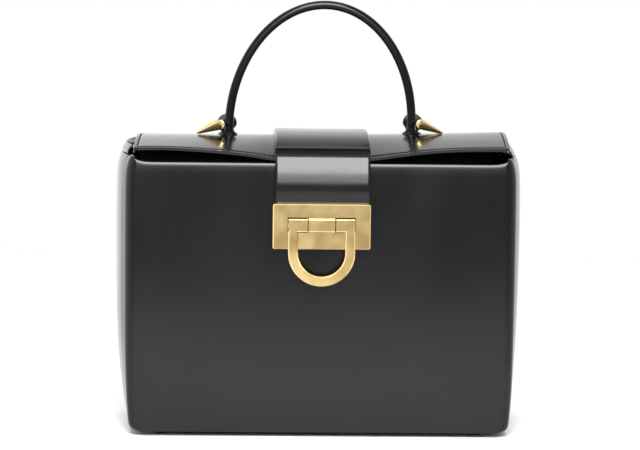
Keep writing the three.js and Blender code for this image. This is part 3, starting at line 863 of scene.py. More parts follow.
class Workshop:
    """Finishes pieces: moves them into the frame, dresses them and hides the CAD parts they stand for."""

    def __init__(self, finishes: Finishes) -> None:
        """Keeps the finishes and reads from the frame where the middle of the bag's depth lies."""
        self.finishes = finishes
        self.middle = (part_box("front_panel")[0].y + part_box("back_panel")[1].y) / 2

    def finish(self, piece: Piece, look: Look, *nodes: str, body: Body = Body.BAG, angle: float = 38.0,
               flat: bool = False) -> None:
        """Moves a piece into the frame, shades and dresses it, and lets it ride on its body.

        Args:
            piece: the finished piece.
            look: what it is made of.
            nodes: the CAD nodes it stands for.
            body: what it rides on.
            angle: edges that turn by more than this, in degrees, stay sharp.
            flat: whether its large faces stay flat up to their small bevels.
        """
        move(piece, Vector((0, self.middle, 0)))
        bpy.ops.object.shade_smooth_by_angle(angle=math.radians(angle))
        if flat:
            modify(piece, "WEIGHTED_NORMAL", keep_sharp=True, weight=100)
        finish, slot = look.value
        piece.data.materials.clear()
        piece.data.materials.append(getattr(self.finishes, finish))
        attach(piece, body.value)
        if nodes:
            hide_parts(*nodes)
        LOG.info("%s: %d faces", piece.name, len(piece.data.polygons))

    def paint_shade(self, piece: Piece, material: Material, test: Callable[[Vector, Vector], bool]) -> None:
        """Paints shade: gives the finished piece's faces that pass the test a second, darker material.

        Args:
            piece: the finished piece.
            material: the darker material that stands in for shade on those faces.
            test: takes a face's centre, in the piece's own place before the shift into the frame, and its normal.
        """
        piece.data.materials.append(material)
        shift = Vector((0, self.middle, 0))
        with editing(piece, "FACE"):
            pick(piece, lambda centre, normal: test(centre - shift, normal), "faces")
            piece.active_material_index = 1
            bpy.ops.object.material_slot_assign()


@dataclass
class Seams:
    """Rows of waxed stitches."""

    length: float = 2.1 * MM
    pitch: float = 3.0 * MM
    radius: float = 0.30 * MM
    sink: float = 0.10 * MM

    def stitch(self) -> Piece:
        """Models one stitch: a short thread that dips into the leather at both ends."""
        clear()
        bpy.ops.mesh.primitive_cylinder_add(vertices=6, radius=self.radius, depth=self.length,
                                            rotation=(0, math.pi / 2, 0))
        piece = named("stitch")
        bpy.ops.object.transform_apply(location=True, rotation=True, scale=True)
        with editing(piece):
            for share in (-0.3, 0.0, 0.3):
                select_all()
                bpy.ops.mesh.bisect(plane_co=(share * self.length, 0, 0), plane_no=(1, 0, 0))
            pick(piece, lambda co: abs(co.x) > 0.45 * self.length)
            bpy.ops.transform.resize(value=(1, 0.6, 0.6))
            bpy.ops.transform.translate(value=(0, 0, -0.9 * self.radius))
            pick(piece, lambda co: abs(co.x) < 0.05 * self.length)
            bpy.ops.transform.resize(value=(1, 1.1, 1.1))
        return piece

    def sew(self, name: str, path: Sequence[Vector], normals: Sequence[Vector]) -> Piece:
        """Lays stitches along a path.

        Args:
            name: the piece's name.
            path: points close together along the seam.
            normals: the leather's outward direction at each point.

        Returns:
            The row of stitches.
        """
        places: list[Matrix] = []
        travelled, due = 0.0, self.pitch / 2
        for start, end, normal in zip(path, path[1:], normals):
            step = (end - start).length
            while step > 0 and due <= travelled + step:
                at = start.lerp(end, (due - travelled) / step)
                along = (end - start).normalized()
                up = (normal - along * normal.dot(along)).normalized()
                across = up.cross(along)
                turn = Matrix((along, across, up)).transposed().to_4x4()
                places.append(Matrix.Translation(at + up * (self.radius * 0.5 - self.sink)) @ turn)
                due += self.pitch
            travelled += step
        return lay(name, self.stitch(), places)


@dataclass
class SubAssembly:
    """What a leather sub-assembly of the bag is built with."""

    form: BagForm
    shop: Workshop
    seams: Seams

    def sew(self, name: str, path: Sequence[Vector], normals: Sequence[Vector], look: Look = Look.THREAD) -> None:
        """Sews a row of stitches along a path, where the leather faces along the normals, and finishes it."""
        self.shop.finish(self.seams.sew(name, path, normals), look)


@dataclass
class BodyWalls(SubAssembly):
    """The front, back and side walls and the base board."""

    panel_wall: float = 3 * MM
    gusset_wall: float = 2.4 * MM
    base_wall: float = 2.8 * MM
    gusset_round: float = 0.9 * MM
    base_round: float = 0.7 * MM
    rim_round: float = 0.5 * MM
    rim_roll: float = 2.5 * MM
    rim_share: float = 0.85
    rim_lean: float = 0.4 * MM
    lean_height: float = 10 * MM
    rim_rise: float = 0.8 * MM
    rim_drops: tuple[float, ...] = (11, 8.5, 6.5, 5, 3.8, 2.9, 2.2, 1.6, 1.1, 0.7, 0.35, 0.12, 0)

    def build(self) -> None:
        """Builds every wall, and the stitching round the base."""
        self.long_wall(Facing.FRONT, "front_wall", "front_panel", self.form.front_top)
        self.long_wall(Facing.BACK, "back_wall", "back_panel", self.form.back_top)
        self.side_walls()
        self.base()

    def plan(self, part: str, share: float, z: float, side: int = 1) -> Point:
        """Returns a point of the long wall's plan: on its flat face, round its corner or on its return."""
        form = self.form
        edge = form.side_x(form.half_depth, z)
        if part == "flat":
            return share * (edge - form.corner_radius), form.half_depth
        if part == "arc":
            angle = share * math.pi / 2
            y = form.half_depth - form.corner_radius * (1 - math.cos(angle))
            return form.wall_x(side, y, z) - form.corner_radius * (1 - math.sin(angle)), y
        y = blend(form.half_depth - form.corner_radius, form.seam + form.gap / 2, share)
        return form.wall_x(side, y, z), y

    def rolled(self, part: str, share: float, side: int, facing: Facing, below: float) -> Vector:
        """Returns how far the rim's roll draws a point inwards, at a height below the upper edge."""
        into = max(0.0, self.rim_roll - below)
        draw = self.rim_roll - math.sqrt(self.rim_roll ** 2 - into ** 2)
        draw = self.rim_share * draw + self.rim_lean * clamp(1 - below / self.lean_height) ** 2
        turn = {"flat": 0.0, "arc": share, "side": 1.0}[part] * math.pi / 2
        return Vector((-side * math.sin(turn), -facing.value * math.cos(turn), 0)) * draw

    def long_wall(self, facing: Facing, name: str, node: str, top_at: Callable[[float], float]) -> None:
        """Builds the front or the back wall, which wraps both vertical corners.

        Args:
            facing: which of the two.
            name: the piece's name.
            node: the CAD node it stands for.
            top_at: height of its upper edge at a distance from the middle.
        """
        form = self.form
        half = [("side", 1.0), ("side", 0.92), ("side", 0.4)]
        half += [("arc", share) for share in (1.0, 0.8, 0.6, 0.4, 0.2)]
        half += [("flat", share) for share in (1.0, 0.965, 0.9, 0.75, 0.5, 0.25)]
        columns = [(*column, -1) for column in half] + [("flat", 0.0, 1)] + [(*column, 1) for column in reversed(half)]
        steps = (0.0, 0.006, 0.016, 0.03, 0.06, 0.14, 0.28, 0.42, 0.56, 0.7, 0.8, 0.87, 0.915)
        rows = []
        for step, below in [(step, None) for step in steps] + [(1.0, drop * MM) for drop in self.rim_drops]:
            row = []
            for part, share, side in columns:
                top = top_at(side * self.plan(part, share, form.rim_z)[0])
                top += self.rim_rise if facing is Facing.FRONT and part == "flat" else 0.0
                z = blend(form.base_z, top, step) if below is None else top - below
                x, y = self.plan(part, share, z, side)
                row.append(Vector((side * x, facing.value * y, z)) + self.rolled(part, share, side, facing, top - z))
            rows.append(row)
        wall = sheet(name, rows, Vector((0, facing.value, 0)))
        upholster(wall, self.panel_wall, self.rim_round)
        self.shop.finish(wall, Look.CALF, node)

    def side_walls(self) -> None:
        """Builds the bellied side walls."""
        form = self.form
        columns = spread(-1, 1, 15)
        steps = (0.0, 0.006, 0.016, 0.03, 0.06, 0.14, 0.28, 0.42, 0.56, 0.7, 0.8, 0.88, 0.94, 0.975, 0.992, 1.0)
        top = form.notch_z - form.ear_notch
        depths = [share * (form.seam - form.gap / 2) for share in columns]
        for side in Side:
            rows = []
            for step in steps:
                z = blend(form.base_z, top, step)
                rows.append([Vector((side.value * form.wall_x(side.value, y, z), y, z)) for y in depths])
            wall = sheet(f"side_wall_{side.label}", rows, Vector((side.value, 0, 0)))
            upholster(wall, self.gusset_wall, self.gusset_round)
            self.shop.finish(wall, Look.CALF, f"gusset_{side.label}")

    def base(self) -> None:
        """Builds the base: a leather-covered board inside the four walls, with a stitched border."""
        form = self.form
        reach = form.half_depth - self.panel_wall - form.gap
        inner = self.panel_wall + form.gap + 0.4 * MM
        depths = both_ways([0, 0.5 * reach, 0.9 * reach, reach])
        rows = []
        for y in depths:
            half = form.side_x(y, form.base_z) - inner
            rows.append([Vector((share * half, y, form.base_z)) for share in both_ways([0, 0.5, 0.96, 1])])
        board = sheet("base_board", rows, Vector((0, 0, -1)))
        thicken(board, self.base_wall)
        round_edges(board, self.base_round)
        self.shop.finish(board, Look.CALF, "base_panel")
        x = form.side_x(reach, form.base_z) - inner - 5 * MM
        y = reach - 4 * MM
        corners = [(-x, -y), (x, -y), (x, y), (-x, y), (-x, -y)]
        path = [Vector((*corner, form.base_z)) for corner in corners]
        self.sew("base_stitches", path, [Vector((0, 0, -1))] * len(path))


@dataclass
class Lid(SubAssembly):
    """The lid, its side returns and its stitched border."""

    lid_round: float = 0.88 * MM
    ear_round: float = 0.55 * MM
    ear_wall: float = 1.2 * MM
    ear_swell: float = 0.8 * MM
    ear_setback: float = 3 * MM
    ear_back_gap: float = 1 * MM
    groove_inset: float = 2.5 * MM
    groove_depth: float = 0.7 * MM
    side_groove: float = 0.6 * MM
    front_groove: float = 1.15 * MM
    edge_steps: tuple[float, ...] = (0.0, 0.75, 1.5, 1.95, 2.3, 2.7, 3.05, 3.5, 5.0, 9.0, 17.0)
    front_steps: tuple[float, ...] = (0.0, 0.6, 1.1, 1.5, 2.0, 2.5, 3.0, 3.5, 3.9, 5.2, 9.0, 17.0)

    def build(self) -> None:
        """Builds the lid and its returns."""
        self.top()
        self.border_stitches()
        self.ears()

    def into_groove(self, x: float, y: float) -> float:
        """Returns how near a point of the lid is to the border's groove: below 1 in it and 0 along its middle."""
        form = self.form
        beside = self.half_at(y) - abs(x - form.lid_middle(y))
        before = y - form.lid_front
        width = self.side_groove if beside < before else self.front_groove
        return abs(min(beside, before) - self.groove_inset) / width

    def groove(self, x: float, y: float) -> float:
        """Returns how deep the border's groove is at a point of the lid."""
        return self.groove_depth * (1 - ease(0.75 * self.into_groove(x, y)))

    def half_at(self, y: float) -> float:
        """Returns half the lid's width at a depth, less at its round front corners."""
        form = self.form
        radius = form.lid_corner_radius
        into = max(0.0, radius - (y - form.lid_front))
        return form.half_lid - form.lid_tuck - radius + math.sqrt(radius ** 2 - into ** 2)

    def columns(self) -> list[float]:
        """Returns the lid's columns as distances from the middle at its full width, in rising order."""
        form = self.form
        inner = [0.0, 16 * MM, form.strap_width / 2, 45 * MM, 62 * MM, 82 * MM, 100 * MM]
        return both_ways(inner + [form.half_lid - step * MM for step in reversed(self.edge_steps)])

    def top(self) -> None:
        """Builds the lid: a sagging sheet with a grooved border, rolled down at the back."""
        form = self.form
        front = [form.lid_front + step * MM for step in self.front_steps]
        places = [(y, 0.0) for y in front + [-30 * MM, -20 * MM, -10 * MM, 0.0]]
        places += [(share * form.roll_start, 0.0) for share in (0.25, 0.5, 0.75, 1.0)]
        places += [(form.roll_start, turn) for turn in (0.2, 0.4, 0.6, 0.8, 1.0)]
        rows = []
        for y, turned in places:
            row = []
            for column in self.columns():
                half = self.half_at(y)
                x = column * half / form.half_lid + form.lid_middle(y)
                if turned == 0:
                    row.append(Vector((x, y, form.lid_top(x, y) - self.groove(x, y))))
                    continue
                start, radius, centre, end = form.back_roll(x)
                turn = blend(start, -math.pi / 2, turned)
                reach = radius - self.groove(x, y)
                row.append(Vector((x, centre - reach * math.sin(turn), end + reach * math.cos(turn))))
            rows.append(row)
        lid = sheet("lid_top", rows, Vector((0, 0, 1)))
        upholster(lid, form.lid_skin, self.lid_round)
        self.shop.finish(lid, Look.CALF, "lid")
        # Painted shade: the faces in the border's groove take the dark groove material.
        self.shop.paint_shade(lid, self.shop.finishes.groove,
                       lambda centre, normal: normal.z > -0.2 and self.into_groove(centre.x, centre.y) < 1)

    def border_stitches(self) -> None:
        """Sews the lid's border, in its groove."""
        form, inset = self.form, self.groove_inset
        x = form.half_lid - form.lid_tuck - inset
        radius = 1.8 * MM
        flat: list[Point] = [(-x, y) for y in spread(form.roll_start, form.lid_front + inset + radius, 40)]
        centre = (-x + radius, form.lid_front + inset + radius)
        flat += [(centre[0] - radius * math.cos(a), centre[1] - radius * math.sin(a)) for a in spread(0.2, 1.4, 5)]
        flat += [(place, form.lid_front + inset) for place in spread(-x + radius, -0.5 * MM, 50)]
        flat += [(-px, py) for px, py in reversed(flat)]
        flat = [(px + form.lid_middle(py), py) for px, py in flat]
        path = [Vector((px, py, form.lid_top(px, py) - self.groove_depth + 0.1 * MM)) for px, py in flat]
        normals = [Vector((0, -math.sin(form.lid_tilt(px, py)), math.cos(form.lid_tilt(px, py)))) for px, py in flat]
        self.sew("lid_stitches", path, normals)

    def ears(self) -> None:
        """Builds the returns that close the sides under the lid."""
        form = self.form
        front = -(form.seam - self.ear_setback)
        back = form.half_depth - form.lid_wall - 2 * form.gap - self.ear_back_gap
        for side in Side:
            rows = []
            for share in (0.0, 0.06, 0.25, 0.45, 0.65, 0.82, 0.95, 1.0):
                row = []
                for y in spread(front, back, 16):
                    z = blend(form.notch_z, form.ear_top(y, side.value), share)
                    swell = self.ear_swell * ease(3 * share) if side is Side.LEFT else 0.0
                    row.append(Vector((side.value * (form.wall_x(side.value, y, z) + swell), y, z)))
                rows.append(row)
            ear = sheet(f"lid_return_{side.label}", rows, Vector((side.value, 0, 0)))
            upholster(ear, self.ear_wall, self.ear_round)
            self.shop.finish(ear, Look.CALF, f"lid_ear_{side.label}")


@dataclass
class ClosingStrap(SubAssembly):
    """The wide strap that comes over the lid and ends behind the clasp."""

    wall: float = 3.2 * MM
    stand: float = 1.512 * MM
    plate_drop: float = 26 * MM
    plate_height: float = 29.6 * MM
    lid_rows: Table = ((0.97, 0.5), (0.93, 0.9), (0.85, 1.04), (0.65, 1.08), (0.45, 1.09), (0.25, 1.1), (0.05, 1.12),
                       (-0.15, 1.22), (-0.32, 1.6), (-0.5, 1.93), (-0.64, 2.2), (-0.76, 2.3), (-0.86, 2.2),
                       (-0.93, 2.0), (-0.97, 1.96))
    fold_rows: Table = ((-1.1, 7.0), (-0.85, 6.4), (-1.6, 5.8), (-2.2, 5.0), (-1.0, 3.9), (0.0, 3.0), (0.9, 2.05),
                        (1.7, 0.95))
    front_rows: Table = ((2.4, -0.3), (3.3, -1.8), (4.25, -3.8), (4.95, -6.2), (5.55, -9.0), (6.03, -11.8),
                         (6.4, -14.8), (6.58, -18.3), (6.38, -22.3), (5.8, -26), (5.012, -29.05))
    right_extra: float = 1 * MM
    section: Table = ((0.0, 2.0), (0.0, 1.3), (0.22, 0.72), (0.7, 0.26), (1.35, 0.05), (2.2, 0.0), (3.4, 0.0),
                      (9.0, 0.0))
    under_section: Table = ((9.0, 0.0), (1.2, 0.0), (0.4, 0.15), (0.0, 0.6))
    # Heights above the lid's front edge between which the strap's fold gets painted shade, in metres.
    dark_fold: Point = (3.0 * MM, 6.9 * MM)

    @property
    def face_y(self) -> float:
        """Where the strap's outer face lies behind the plate."""
        return self.form.lid_front - self.form.gap - self.wall - self.stand

    @property
    def plate_top(self) -> float:
        """Height of the clasp plate's upper edge."""
        return self.form.rim_z - self.plate_drop

    def stations(self) -> list[tuple[Vector, Vector]]:
        """Returns the strap's outer and inner point at each place along it, from its rear end to its front end."""
        form, places = self.form, []
        for reach, pad in self.lid_rows:
            y = reach * form.roll_start if reach > 0 else -reach * form.lid_front
            under = form.lid_top(0, y) + form.gap
            places.append((Vector((0, y, under + self.wall * pad)), Vector((0, y, under))))
        turn_z = form.lid_top(0, form.lid_front)
        for i, (ahead, up) in enumerate(self.fold_rows):
            behind = blend(1.6, -0.2, i / (len(self.fold_rows) - 1)) * MM
            under = Vector((0, form.lid_front + behind, turn_z + 0.4 * MM))
            places.append((Vector((0, form.lid_front - ahead * MM, turn_z + up * MM)), under))
        for ahead, up in self.front_rows:
            y, z = form.lid_front - ahead * MM, turn_z + up * MM
            places.append((Vector((0, y, z)), Vector((0, min(y + self.wall, form.lid_front - form.gap), z))))
        for below in (12 * MM, self.plate_height - 4 * MM, self.plate_height - 2 * MM):
            z = self.plate_top - below
            places.append((Vector((0, self.face_y, z)), Vector((0, self.face_y + self.wall, z))))
        return places

    def build(self) -> None:
        """Builds the strap and its stitching."""
        half = self.form.strap_width / 2
        rings = []
        for outer, inner in self.stations():
            through = (inner - outer).normalized()
            thick = (inner - outer).length
            left = [Vector((-half + inset * MM, 0, 0)) + outer + through * min(sink * MM, 0.6 * thick)
                    for inset, sink in self.section]
            under = [Vector((-half + inset * MM, 0, 0)) + inner - through * min(lift * MM, 0.3 * thick)
                     for inset, lift in self.under_section]
            right, under_right = ([Vector((self.right_extra - point.x, point.y, point.z)) for point in reversed(row)]
                                  for row in (left, under))
            rings.append([*left, Vector((0, left[-1].y, left[-1].z)), *right, *under_right, *under])
        strap = sleeve("strap_over_lid", rings)
        soften(strap, 2)
        self.shop.finish(strap, Look.CALF, "closure_strap", angle=60)
        self.darken_fold(strap)
        self.stitches()

    def darken_fold(self, strap: Piece) -> None:
        """Paints shade on the fold over the lid's front edge, with the dark groove material."""
        turn_z = self.form.lid_top(0, self.form.lid_front)
        low, high = (turn_z + up for up in self.dark_fold)
        self.shop.paint_shade(strap, self.shop.finishes.groove,
                       lambda centre, _: low < centre.z < high and centre.y < self.form.lid_front + 3 * MM)

    def stitches(self) -> None:
        """Sews the strap's rear end down."""
        half = self.form.strap_width / 2 - 3 * MM
        outer, inner = self.stations()[2]
        up = (outer - inner).normalized()
        rear = [outer - up * 0.12 * MM + Vector((x, 0, 0)) for x in spread(-half, half, 20)]
        self.sew("strap_stitches_rear", rear, [up] * len(rear))


@dataclass
class Clasp:
    """The gold plate, its hinge and the pull ring."""

    form: BagForm
    shop: Workshop
    strap: ClosingStrap
    width: float = 64 * MM
    height: float = 29.6 * MM
    wall: float = 3 * MM
    bevel: float = 0.7 * MM
    corner: float = 1.3 * MM
    hinge_drop: float = 13.7 * MM
    hinge_standoff: float = 1.3 * MM
    knuckle_radius: float = 4.2 * MM
    knuckle_round: float = 0.5 * MM
    middle_knuckle: float = 17.6 * MM
    hinge_width: float = 43.8 * MM
    knuckle_gap: float = 0.4 * MM
    window_gap: float = 0.75 * MM
    ring_band: float = 6.4 * MM
    ring_wall: float = 3.2 * MM
    ring_drop: float = 39.9 * MM
    ring_bevel: float = 0.75 * MM
    pin_room: float = 1.5 * MM

    @property
    def back(self) -> float:
        """Where the plate's back lies."""
        return self.strap.face_y - self.form.gap

    @property
    def front(self) -> float:
        """Where the plate's face lies."""
        return self.back - self.wall

    @property
    def hinge(self) -> Vector:
        """The middle of the hinge's axis."""
        return Vector((0, self.front - self.hinge_standoff, self.strap.plate_top - self.hinge_drop))

    @property
    def outer_knuckle(self) -> float:
        """Width of each of the ring's two barrels."""
        return (self.hinge_width - self.middle_knuckle) / 2 - self.knuckle_gap

    @property
    def outer_knuckle_x(self) -> float:
        """How far from the middle the ring's barrels lie."""
        return (self.hinge_width - self.outer_knuckle) / 2

    @property
    def ring_back(self) -> float:
        """Where the ring's back lies."""
        return self.front - self.form.gap - 0.1 * MM

    @property
    def ring_front(self) -> float:
        """Where the ring's face lies."""
        return self.ring_back - self.ring_wall

    def build(self) -> None:
        """Builds the clasp, and paints shade on the pin and the catch that the frame carries by giving them the dark
        gold.
        """
        self.plate()
        self.ring()
        # Painted shade: the pin and the catch take the dark gold.
        for node in ("clasp_pin", "clasp_catch"):
            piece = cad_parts[node]
            piece.data.materials.clear()
            piece.data.materials.append(self.shop.finishes.gold_shade)

    def on_block_rim(self, centre: Vector, normal: Vector) -> bool:
        """Returns whether a face is on the top or the end of a hinge block or in a window, where the gold gets painted
        shade.
        """
        side = abs(centre.x) < self.hinge_width / 2 + 2 * self.knuckle_gap
        tall = abs(centre.z - self.hinge.z) < self.knuckle_radius + 1.5 * self.window_gap
        above = normal.z > 0.45 and centre.z > self.hinge.z
        return side and tall and (above or normal.y > -0.3 and abs(normal.x) > 0.5)

    def knuckle(self, name: str, width: float, x: float) -> Piece:
        """Models one barrel of the hinge: a squared block with rounded edges, which can turn in its window."""
        deep = self.hinge.y - self.ring_front
        half = Vector((width / 2, deep, self.knuckle_radius))
        centre = self.hinge + Vector((x, 0, 0))
        barrel = block(name, centre - half, centre + half)
        with editing(barrel, "EDGE"):
            pick(barrel, lambda a, b: abs(a.x - b.x) > width / 2, "edges")
            bpy.ops.mesh.bevel(offset=self.knuckle_round, segments=5)
        round_edges(barrel, 0.3 * MM, 2, 60)
        return barrel

    def pin_bore(self) -> Piece:
        """Models the rod that cuts the room for the pin."""
        reach = Vector((self.hinge_width / 2 + self.knuckle_gap, 0, 0))
        return rod("pin_bore", self.pin_room, self.hinge - reach, self.hinge + reach, 24)

    def plate(self) -> None:
        """Builds the plate: bevelled edges, two windows for the ring's barrels and its own barrel between them."""
        top = self.strap.plate_top
        low = Vector((-self.width / 2, self.front, top - self.height))
        plate = block("clasp_face", low, Vector((self.width / 2, self.back, top)))
        with editing(plate, "EDGE"):
            pick(plate, lambda a, b: abs(a.y - b.y) > self.wall / 2, "edges")
            bpy.ops.mesh.bevel(offset=self.corner, segments=5)
        with editing(plate, "FACE"):
            pick(plate, lambda _, normal: normal.y < -0.9, "faces")
            bpy.ops.mesh.inset(thickness=self.bevel)
        with editing(plate):
            pick(plate, lambda co: co.y < self.front + 0.1 * MM and self.on_border(co))
            bpy.ops.transform.translate(value=(0, self.bevel, 0))
        half = Vector((self.outer_knuckle / 2 + self.knuckle_gap, 4 * self.wall, self.knuckle_radius + self.window_gap))
        for side in Side:
            centre = Vector((side.value * self.outer_knuckle_x, self.front, self.hinge.z))
            combine(plate, block("window", centre - half, centre + half), "DIFFERENCE")
        barrel = self.knuckle("middle_barrel", self.middle_knuckle, 0)
        behind = Vector((self.middle_knuckle, self.wall, 2 * self.knuckle_radius))
        centre = Vector((0, self.back + self.wall, self.hinge.z))
        combine(barrel, block("behind", centre - behind, centre + behind), "DIFFERENCE")
        combine(plate, barrel, "UNION")
        combine(plate, self.pin_bore(), "DIFFERENCE")
        round_edges(plate, 0.16 * MM, 2, 55)
        self.shop.finish(plate, Look.GOLD, "clasp_plate", angle=40, flat=True)
        # Painted shade: the dark gold goes on the hinge blocks' tops and ends and in the windows.
        self.shop.paint_shade(plate, self.shop.finishes.gold_shade, self.on_block_rim)

    def on_border(self, co: Vector) -> bool:
        """Returns whether a point lies on the outermost border of the plate."""
        top = self.strap.plate_top
        inset = min(self.width / 2 - abs(co.x), top - co.z, co.z - (top - self.height))
        corner = math.hypot(max(0, abs(co.x) - self.width / 2 + self.corner),
                            max(0, co.z - top + self.corner, top - self.height + self.corner - co.z))
        return inset < 0.3 * self.bevel or corner > self.corner - 0.3 * self.bevel

    def ring(self) -> None:
        """Builds the pull ring: a flat band with bevelled edges, straight at the sides and round below."""
        outer = self.hinge_width / 2
        mid = outer - self.ring_band / 2
        centre = Vector((0, (self.ring_front + self.ring_back) / 2, self.hinge.z - self.ring_drop + outer))
        top = self.hinge.z - 0.5 * self.knuckle_radius
        band, wall, cut = self.ring_band / 2, self.ring_wall / 2, self.ring_bevel
        corners = [(band, wall - cut), (band - cut, wall), (cut - band, wall), (-band, wall - cut),
                   (-band, cut - wall), (cut - band, -wall), (band - cut, -wall), (band, cut - wall)]
        clear()
        bpy.ops.mesh.primitive_circle_add(vertices=len(corners), radius=0.01, fill_type="NOTHING")
        ring = named("pull_ring_band")
        with editing(ring):
            fit(ring, [Vector((mid + x, centre.y + y, top)) for x, y in corners])
            select_all()
            bpy.ops.mesh.extrude_region_move(TRANSFORM_OT_translate={"value": (0, 0, centre.z - top)})
            bpy.ops.mesh.spin(steps=48, angle=-math.pi, center=centre, axis=(0, 1, 0))
            pick(ring, lambda co: co.x < 0 and co.z > centre.z - 0.01 * MM)
            bpy.ops.mesh.extrude_region_move(TRANSFORM_OT_translate={"value": (0, 0, top - centre.z)})
            tidy(ring, fill=True)
        for side in Side:
            barrel = self.knuckle("barrel", self.outer_knuckle, side.value * self.outer_knuckle_x)
            combine(ring, barrel, "UNION")
        combine(ring, self.pin_bore(), "DIFFERENCE")
        round_edges(ring, 0.12 * MM, 2, 32)
        self.shop.finish(ring, Look.GOLD, "clasp_ring", body=Body.RING, angle=40, flat=True)
        # Painted shade: the dark gold goes on the ring's barrels' tops and ends.
        self.shop.paint_shade(ring, self.shop.finishes.gold_shade, self.on_block_rim)


@dataclass
class Carrying(SubAssembly):
    """The rolled handle, the loops behind its ends and the gold stirrups."""

    spread: float = 124 * MM
    rise: float = 79.4 * MM
    radius: float = 3 * MM
    spring: float = 7.4 * MM
    loop_wall: float = 3.6 * MM
    bar_offset: float = 5 * MM
    bar_height: float = 7.2 * MM
    bar_radius: float = 1.5 * MM
    stirrup_length: float = 14.8 * MM
    stirrup_spread: float = 25 * MM
    tip_spread: float = 7 * MM
    stirrup_wall: float = 2 * MM
    tip_radius: float = 1.05 * MM
    shift: float = 0.2 * MM
    lean: float = 0.023
    rope_inset: float = 0.7 * MM
    rope_sides: int = 20
    seam_dent: float = 0.16 * MM
    arch_power: float = 2 / 1.95
    foot_rows: Sequence[Triple] = (
        (0.0, 6.1, 3.0), (0.35, 6.2, 3.0), (0.8, 5.7, 3.0), (1.4, 4.5, 3.0), (2.2, 3.7, 3.0), (3.4, 3.1, 3.0))
    loop_outline: Table = (
        (-6.2, 0.0), (-6.1, 0.6), (-4.7, 1.3), (-4.0, 2.6), (-4.4, 4.2), (-5.5, 5.6), (-6.0, 7.5), (-5.4, 10.2),
        (-3.4, 12.6), (-0.4, 13.7), (2.6, 13.4), (5.2, 11.8), (7.0, 9.4), (8.2, 7.2), (8.0, 4.9), (6.6, 3.2),
        (5.0, 2.5), (4.3, 1.8), (4.9, 1.2), (6.1, 0.6), (6.2, 0.0), (0.0, -0.05))

    arm_rows: Table = ((-0.19, 1.3), (-0.15, 2.6), (-0.06, 3.25), (0.06, 3.35), (0.3, 2.75), (0.6, 1.95), (0.85, 1.35),
                       (0.97, 1.05), (1.04, 0.8), (1.06, 0.45))
    arm_section: Table = ((1, 0.45), (0.78, 1), (-0.78, 1), (-1, 0.45), (-1, -0.45), (-0.78, -1), (0.78, -1),
                          (1, -0.45))

    @property
    def end_x(self) -> float:
        """How far from the middle the handle's ends stand."""
        return self.spread / 2

    @property
    def foot_z(self) -> float:
        """Mean height of the handle's feet."""
        return (self.form.lid_top(self.end_x, 0) + self.form.lid_top(-self.end_x, 0)) / 2

    @property
    def eye(self) -> Vector:
        """The middle of the right stirrup's bar."""
        return Vector((self.end_x + self.bar_offset, 0, self.foot_z + self.bar_height))

    def settled(self, point: Vector) -> Vector:
        """Returns where a point of the evenly drawn handle lies now that the handle leans a little."""
        rise = (self.form.lid_top(self.end_x, 0) - self.form.lid_top(-self.end_x, 0)) / 2
        shift = self.shift + self.lean * (point.z - self.foot_z)
        return point + Vector((shift, 0, rise * point.x / self.end_x))

    def both_ends(self, right: Piece, look: Look, node: str, angle: float = 38.0) -> None:
        """Mirrors a piece of the handle's right end, and moves and finishes it at both ends.

        Args:
            right: the piece, with "right" in its name.
            look: what it is made of.
            node: the CAD node it stands for, without its side.
            angle: edges that turn by more than this, in degrees, stay sharp.
        """
        left = mirrored(right, right.name.replace("right", "left"))
        for piece, side in ((right, Side.RIGHT), (left, Side.LEFT)):
            foot = Vector((side.value * self.end_x, 0, self.foot_z))
            move(piece, self.settled(foot) - foot)
            self.shop.finish(piece, look, f"{node}_{side.label}", angle=angle)

    def build(self) -> None:
        """Builds the handle and both ends."""
        self.rope()
        self.loop()
        self.stirrup()

    def arch(self, angle: float) -> Vector:
        """Returns a point on the handle's arch, from its left spring at 0 to its right at pi."""
        height = self.rise * math.sin(angle) ** self.arch_power if 0 < angle < math.pi else 0.0
        return Vector((-(self.end_x - self.rope_inset) * math.cos(angle), 0, self.foot_z + self.spring + height))

    def rope(self) -> None:
        """Builds the rolled handle, with a flared foot at each end and a sewn seam along its rear side."""
        angles = [math.pi * ease(share) * 0.35 + math.pi * share * 0.65 for share in spread(0, 1, 57)]
        path = [self.arch(angle) for angle in angles]
        feet = [Vector((self.rope_inset - self.end_x, 0, self.foot_z + up * MM)) for up, _, _ in self.foot_rows]
        flare = [(wide * MM, deep * MM) for _, wide, deep in self.foot_rows]
        sizes = flare + [(self.radius, self.radius)] * len(path) + flare[::-1]
        centres = feet + [path[0] - Vector((0, 0, 2 * MM))] + path[1:-1] + [path[-1] - Vector((0, 0, 2 * MM))]
        centres += [Vector((-point.x, 0, point.z)) for point in reversed(feet)]
        rings, seam = [], []
        for i, (centre, (wide, deep)) in enumerate(zip(centres, sizes)):
            along = (centres[min(i + 1, len(centres) - 1)] - centres[max(i - 1, 0)]).normalized()
            if i < len(feet) + 1 or i > len(centres) - len(feet) - 2:
                along = Vector((0, 0, 1 if i < len(centres) / 2 else -1))
            beside = Vector((along.z, 0, -along.x))
            ring = []
            for k in range(self.rope_sides):
                angle = 2 * math.pi * k / self.rope_sides
                dent = self.seam_dent if 4 * k == self.rope_sides else 0.0
                at = centre + beside * (wide - dent) * math.cos(angle)
                ring.append(self.settled(at + Vector((0, (deep - dent) * math.sin(angle), 0))))
            rings.append(ring)
            seam.append(self.settled(centre + Vector((0, deep - 0.12 * MM, 0))))
        rope = sleeve("handle_roll", rings)
        soften(rope)
        self.shop.finish(rope, Look.ROLLED, "handle", angle=60)
        seam = seam[len(feet) + 2:-len(feet) - 2]
        self.sew("handle_stitches", seam, [Vector((0, 1, 0))] * len(seam), Look.HANDLE_THREAD)

